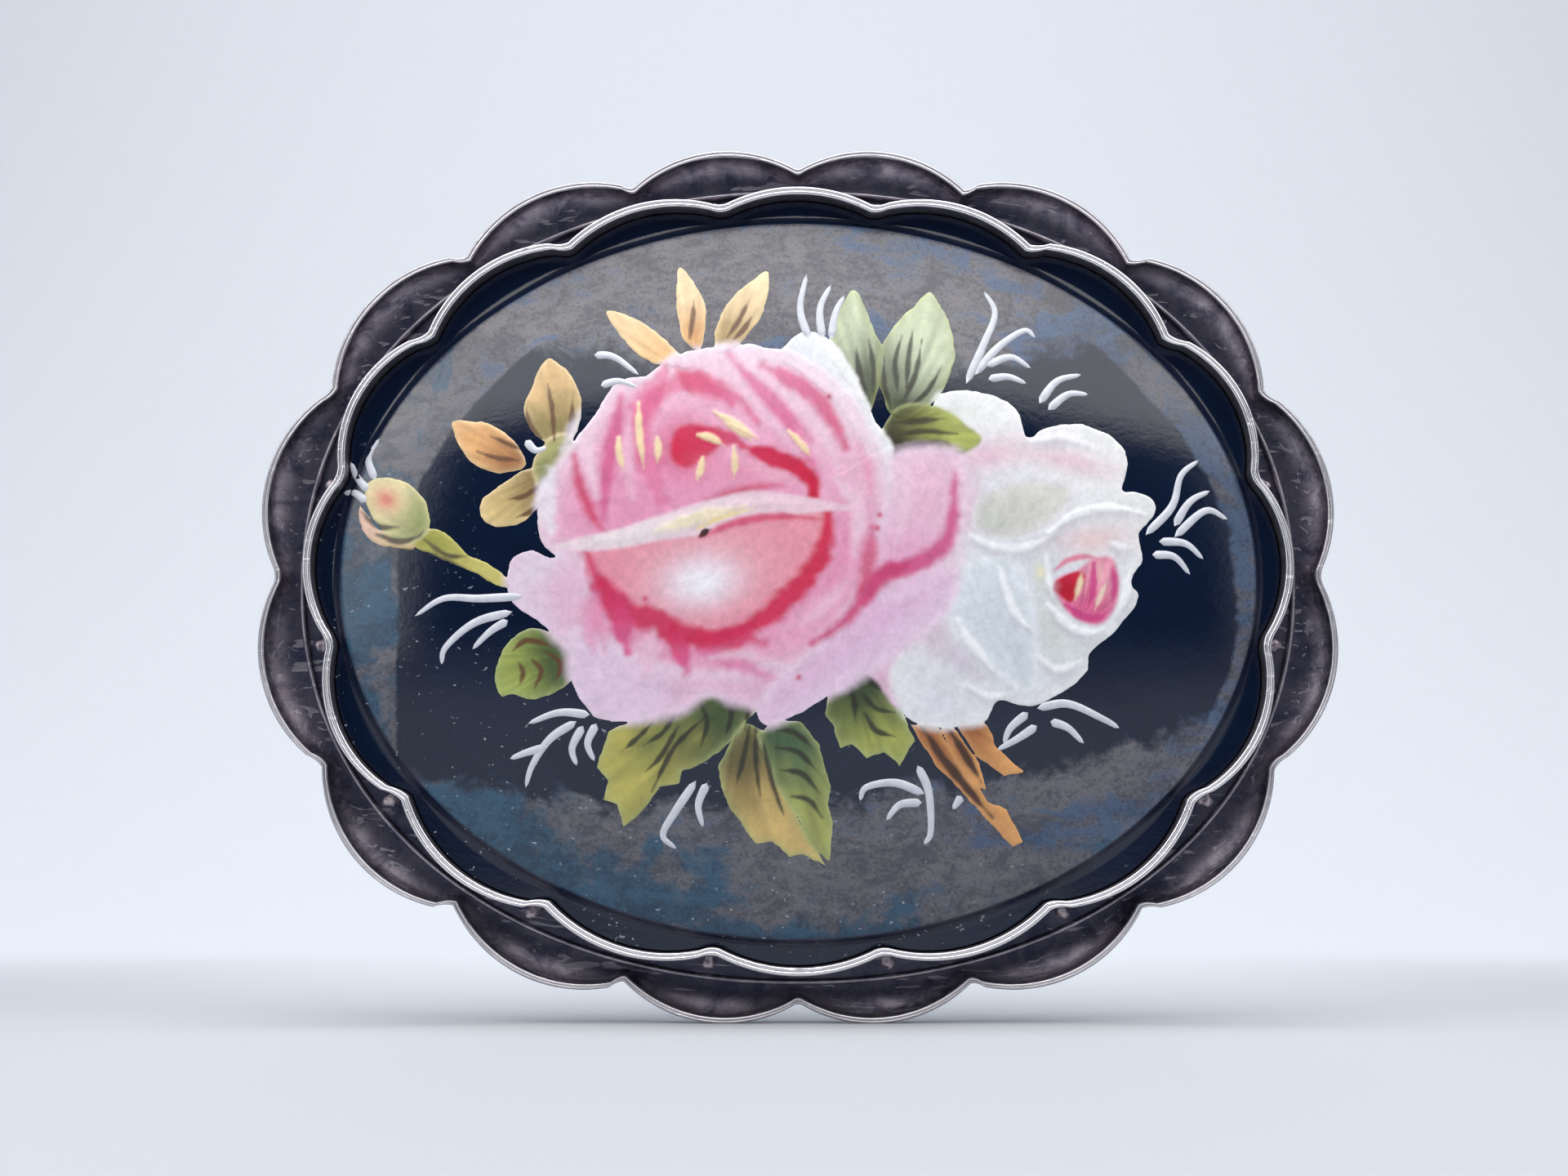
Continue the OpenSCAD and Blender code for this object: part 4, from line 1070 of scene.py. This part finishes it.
art.stroke([(-4.6, 6.6), (-3.4, 6.4), (-2.2, 5.9)], 0.6, CRIMSON, (200, 50, 96), soft=0.2, strength=0.9)
art.glow((-3.2, 4.8), (1.5, 0.7), (226, 150, 176), 0.6, turn=-12)
art.stroke([(-2.5, 5.9), (-1.0, 5.4), (0.1, 4.9), (0.6, 4.4), (0.7, 3.7)], 0.85, (204, 34, 80),
           (196, 20, 60), soft=0.2, strength=1.0, taper=(0.35, 0.6))
art.petal([(-11.2, 1.3), (-9.7, 1.8), (-8.1, 2.15), (-6.3, 2.75), (-4.4, 3.35), (-2.15, 3.85), (-0.3, 3.7),
           (1.5, 3.35), (2.4, 3.1), (1.07, 3.0), (-0.3, 2.85), (-2.15, 2.8), (-3.5, 2.45), (-4.4, 1.95),
           (-6.3, 1.65), (-8.1, 1.3), (-9.7, 1.2)],
          (232, 196, 210), (230, 214, 220), (1.0, 3.2), (-8.0, 1.6), edge=(232, 204, 216), edge_wide=0.12,
          streak=0.02, raised=0, soft=0.16)
art.stroke([(-9.0, 1.6), (-6.6, 2.1), (-4.6, 2.7), (-2.2, 3.3), (0.2, 3.3)], 0.7, (230, 220, 222),
           (234, 204, 214), soft=0.25, strength=0.8, raise_by=0.03)
art.stroke([(-6.4, 2.1), (-4.4, 2.7), (-2.4, 3.2)], 0.55, (238, 228, 204), (236, 220, 188), soft=0.16,
           raise_by=0.02)
art.stroke([(-4.5, 2.2), (-3.4, 2.7), (-2.0, 3.1)], 0.2, (240, 216, 150), (240, 222, 180), soft=0.08)
art.stroke([(-4.4, 1.8), (-3.2, 2.3), (-2.1, 2.6), (-0.8, 2.75), (1.2, 2.6)], 0.35, (208, 80, 120),
           (210, 60, 100), soft=0.15, strength=0.85)
art.stroke([(-4.4, 1.85), (-4.15, 2.05), (-3.95, 2.15)], 0.3, (80, 34, 34), (50, 30, 28), soft=0.06)
PINK_SPECKS = [(3.7, 2.8), (3.6, 2.2), (0.03, -4.6), (1.4, 8.2), (-6.9, -1.0)]
for speck in PINK_SPECKS:
    art.glow(speck, (0.14, 0.14), (196, 50, 96), 0.9)

# Cream stamens of the large rose, laid on last and thick.
STAMENS = [
    [(-7.2, 7.9), (-7.15, 6.4), (-6.95, 4.9)], [(-8.1, 6.3), (-8.05, 5.5), (-7.85, 4.8)],
    [(-6.35, 6.3), (-6.3, 5.8), (-6.35, 5.2)], [(-3.75, 7.5), (-2.8, 6.95), (-1.8, 6.25)],
    [(-3.3, 7.0), (-2.6, 6.6), (-2.1, 6.2)], [(-2.9, 5.9), (-2.85, 5.1), (-2.9, 4.4)],
    [(-4.3, 5.4), (-4.4, 4.9), (-4.55, 4.4)], [(-0.4, 6.6), (0.1, 6.1), (0.6, 5.4)],
    [(-4.5, 6.45), (-3.9, 6.3), (-3.3, 5.9)],
]
for points in STAMENS:
    art.stroke(points, 0.3, (244, 222, 176), (238, 208, 170), soft=0.08, raise_by=0.04)

kept = art.inside > -MARGIN
drops = 1 + 0.12 * (grain(art.across, art.up, 0.35, 3) - 0.5)
drops = drops + 0.14 * (grain(art.across, art.up, 0.13, 5) - 0.5)
art.colour *= drops[:, None]
art.height += 0.010 * (grain(art.across, art.up, 0.5, 7) - 0.5) * (art.inside > 0.1)
columns = art.shape[1]
whole = kept.reshape(art.shape)
cells = whole[:-1, :-1] & whole[1:, :-1] & whole[:-1, 1:] & whole[1:, 1:]
a, b = np.nonzero(cells)
corner = a * columns + b
paint_faces = np.stack([corner, corner + columns, corner + columns + 1, corner + 1], axis=-1)
used, paint_faces = np.unique(paint_faces, return_inverse=True)
paint_faces = paint_faces.reshape(-1, 4)
paint_x, paint_y = laid(art.across[used], art.up[used])
paint_points = face(paint_x, paint_y, dome_out(paint_x, paint_y) + art.height[used])

china_paint = Recipe("china_paint", Coat_Weight=0.25, Coat_Roughness=0.12)
painted = china_paint.node("VertexColor", {"layer_name": "paint"})
stipple = china_paint.noise(0.16, detail=3.0, rough=0.7)
china_paint.give(Base_Color=painted, Roughness=0.34 + stipple * 0.14)
china_paint.bump(stipple, 0.01)
roses = piece("painted_roses", paint_points, paint_faces.tolist(), china_paint, None)
layer = roses.data.color_attributes.new("paint", "FLOAT_COLOR", "POINT")
layer.data.foreach_set("color", np.column_stack([art.colour[used], np.ones(len(used))]).ravel())

# ---- The raised white sprigs ----
# Fine curls of thick white enamel round the flowers, each one pull of a loaded liner brush: blunt
# and high where it starts, and drawn out where it lifts off.


SPRIG_WIDE = 0.47
SPRIG_HIGH = 0.09
SPRIG_SUNK = 0.03


def pull(points):
    """One raised stroke on the dome, as rings of a half-round section, and its faces."""
    line = np.column_stack(laid(*curve(points, steps=6).T))
    count = len(line)
    along = np.linspace(0, 1, count)
    way = np.gradient(line, axis=0)
    way /= np.hypot(*way.T)[:, None]
    across = np.column_stack([-way[:, 1], way[:, 0]])
    body = np.sqrt(np.clip(1 - (2 * along - 1) ** 8, 0, 1)) * (1 - 0.5 * along)
    body = np.maximum(body, 0.05)
    arc = np.radians(np.linspace(0, 180, 7))
    half = (SPRIG_WIDE / 2 * body)[:, None, None]
    flat = line[:, None, :] + across[:, None, :] * half * np.cos(arc)[:, None]
    lift = -SPRIG_SUNK + (SPRIG_HIGH * body)[:, None] * np.sin(arc) + SPRIG_SUNK * np.sin(arc)
    out = dome_out(flat[..., 0], flat[..., 1]) + lift
    sides = len(arc)
    faces = [[i * sides + j, i * sides + j + 1, (i + 1) * sides + j + 1, (i + 1) * sides + j]
             for i in range(count - 1) for j in range(sides - 1)]
    faces += [[i * sides, (i + 1) * sides, (i + 1) * sides + sides - 1, i * sides + sides - 1]
              for i in range(count - 1)]
    faces += [list(range(sides)), list(range((count - 1) * sides, count * sides))[::-1]]
    return face(flat[..., 0], flat[..., 1], out).reshape(-1, 3), faces


SPRIGS = [
    [(0.5, 10.8), (0.1, 12.2), (0.4, 13.8)], [(1.1, 10.8), (1.0, 12.2), (1.5, 13.3)],
    [(1.5, 10.8), (1.7, 12.0), (2.1, 12.8)], [(7.6, 8.8), (8.4, 10.6), (8.9, 12.0), (8.4, 13.0)],
    [(8.0, 9.2), (9.0, 10.4), (10.2, 11.2), (10.7, 10.9)], [(8.5, 9.6), (9.6, 10.0), (10.5, 9.5)],
    [(8.6, 9.0), (9.5, 9.1), (10.3, 8.8)], [(10.9, 7.9), (11.7, 8.9), (12.8, 9.2)],
    [(11.3, 7.6), (12.2, 8.3), (13.1, 8.3)], [(-9.2, 10.1), (-8.3, 10.0), (-7.2, 9.2)],
    [(-8.9, 8.7), (-8.1, 8.9), (-7.2, 8.6)], [(15.7, 1.9), (16.9, 3.2), (17.3, 4.6), (18.1, 5.3)],
    [(17.0, 2.3), (17.7, 3.4), (18.6, 3.9)], [(17.0, 1.8), (18.4, 3.0), (19.4, 2.6)],
    [(16.3, 1.6), (17.5, 1.5), (18.3, 0.8)], [(16.0, 1.0), (17.0, 0.9), (17.7, 0.1)],
    [(10.8, -6.0), (12.2, -5.8), (13.8, -6.5), (14.5, -6.9)],
    [(11.4, -6.6), (12.2, -6.9), (12.9, -7.6)], [(10.4, -6.2), (9.6, -6.9), (9.3, -7.6)],
    [(10.8, -6.8), (9.9, -7.4), (9.0, -7.9)], [(5.4, -8.6), (5.9, -9.8), (6.0, -11.6), (5.7, -12.2)],
    [(5.7, -9.9), (4.4, -9.4), (3.1, -9.6), (2.8, -10.2)], [(5.6, -10.3), (4.6, -10.4), (4.0, -11.1)],
    [(7.4, -10.0), (7.0, -10.6)], [(-4.6, -9.3), (-5.6, -10.8), (-6.1, -11.8), (-5.5, -12.4)],
    [(-4.1, -9.4), (-4.5, -10.4), (-4.3, -11.4)], [(-9.4, -6.3), (-10.8, -6.2), (-12.2, -6.7)],
    [(-10.0, -6.6), (-11.2, -7.4), (-12.0, -8.6), (-12.3, -9.6)],
    [(-11.4, -7.8), (-12.2, -8.0), (-13.0, -8.3)], [(-9.7, -6.8), (-10.2, -7.8), (-10.0, -8.6)],
    [(-9.1, -6.7), (-9.5, -7.6), (-9.2, -8.4)],
    [(-12.4, -0.9), (-14.4, -1.0), (-16.0, -1.0), (-17.3, -1.8)],
    [(-12.9, -1.6), (-14.6, -2.1), (-15.9, -3.2), (-16.1, -4.0)],
    [(-13.1, -2.0), (-13.9, -2.5), (-14.7, -3.3)], [(-19.1, 4.4), (-19.4, 5.4), (-18.9, 6.3)],
    [(-19.4, 3.9), (-19.9, 4.5), (-20.2, 5.2)], [(-19.5, 3.4), (-20.0, 3.8), (-20.5, 3.8)],
    [(-12.3, 6.2), (-11.85, 5.75), (-11.3, 5.9)],
]
sprig_points, sprig_faces = [], []
for points in SPRIGS:
    start = sum(map(len, sprig_points))
    dots, quads = pull(points)
    sprig_points.append(dots)
    sprig_faces += [[start + k for k in quad] for quad in quads]
white_enamel = Recipe("white_enamel", Coat_Weight=0.3, Coat_Roughness=0.1)
chalk = white_enamel.noise(0.4, detail=3.0)
white_enamel.give(Base_Color=white_enamel.blend(chalk, opaque(186, 190, 202), opaque(226, 229, 236)),
                  Roughness=0.28 + chalk * 0.15)
white_enamel.bump(chalk, 0.01)
piece("white_sprigs", np.vstack(sprig_points), sprig_faces, white_enamel, None)

# ---- The back: card, plate, hinge, pin and catch ----
# Silver fittings soldered on a silver back plate, and a drawn steel pin that turns on a rivet. They
# are the solids of the design with every edge eased. The card behind the plaque is plain.


WELD = 0.000004
FLAT_ANGLE = math.radians(1)
EDGE_ANGLE = math.radians(35)


def eased(node, width, recipe, body):
    """A copy of a CAD node with rounded edges, in its place."""
    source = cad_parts[node]
    copy = source.copy()
    copy.data = source.data.copy()
    copy.name = "eased_" + node
    bpy.context.collection.objects.link(copy)
    deselect()
    copy.select_set(True)
    bpy.context.view_layer.objects.active = copy
    bpy.ops.object.mode_set(mode="EDIT")
    bpy.ops.mesh.select_all(action="SELECT")
    bpy.ops.mesh.remove_doubles(threshold=WELD)
    bpy.ops.mesh.dissolve_limited(angle_limit=FLAT_ANGLE)
    bpy.ops.object.mode_set(mode="OBJECT")
    edge = copy.modifiers.new("edge", "BEVEL")
    edge.width = width * MM
    edge.segments = 3
    edge.limit_method = "ANGLE"
    edge.angle_limit = EDGE_ANGLE
    bpy.ops.object.modifier_apply(modifier="edge")
    bpy.ops.object.shade_smooth_by_angle(angle=EDGE_ANGLE)
    copy.data.materials.clear()
    copy.data.materials.append(recipe.material)
    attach(copy, body)
    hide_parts(node)


buffed = Recipe("buffed_silver", Metallic=1.0)
haze = buffed.noise(3.0, detail=5.0, rough=0.6, warp=0.5)
rub = buffed.noise(0.5, detail=4.0, stretch=(0.08, 1, 1))
shine = (haze + rub * 0.4).between(0.45, 0.95)
buffed.give(Base_Color=buffed.blend(shine, opaque(186, 182, 180), opaque(210, 208, 204)),
            Roughness=0.28 + haze * 0.08 + rub * 0.14)
buffed.bump(rub * 0.5 + haze * 0.3, 0.02)

steel = Recipe("drawn_steel", Metallic=1.0)
draw_lines = steel.noise(0.3, detail=3.0, stretch=(0.03, 1, 1))
steel.give(Base_Color=steel.blend(draw_lines, opaque(150, 150, 154), opaque(196, 196, 200)),
           Roughness=0.22 + draw_lines * 0.18)
steel.bump(draw_lines, 0.01)

card = Recipe("packing_card")
fibres = card.noise(0.4, detail=4.0)
card.give(Base_Color=card.blend(fibres, opaque(176, 150, 112), opaque(202, 180, 142)),
          Roughness=0.8 + fibres * 0.1)

FITTINGS = [
    ("back_plate", 0.12, buffed, "brooch"),
    ("hinge_pad", 0.12, buffed, "brooch"),
    ("catch_pad", 0.12, buffed, "brooch"),
    ("hinge_block", 0.08, buffed, "brooch"),
    ("hinge_rivet", 0.12, steel, "brooch"),
    ("catch_housing", 0.08, buffed, "brooch"),
    ("pin_stem", 0.05, steel, "pin"),
    ("catch_sleeve", 0.06, buffed, "catch_lock"),
    ("catch_tab", 0.08, buffed, "catch_lock"),
]
for node, width, recipe, body in FITTINGS:
    eased(node, width, recipe, body)
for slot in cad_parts["packing_disc"].material_slots:
    slot.material = card.material
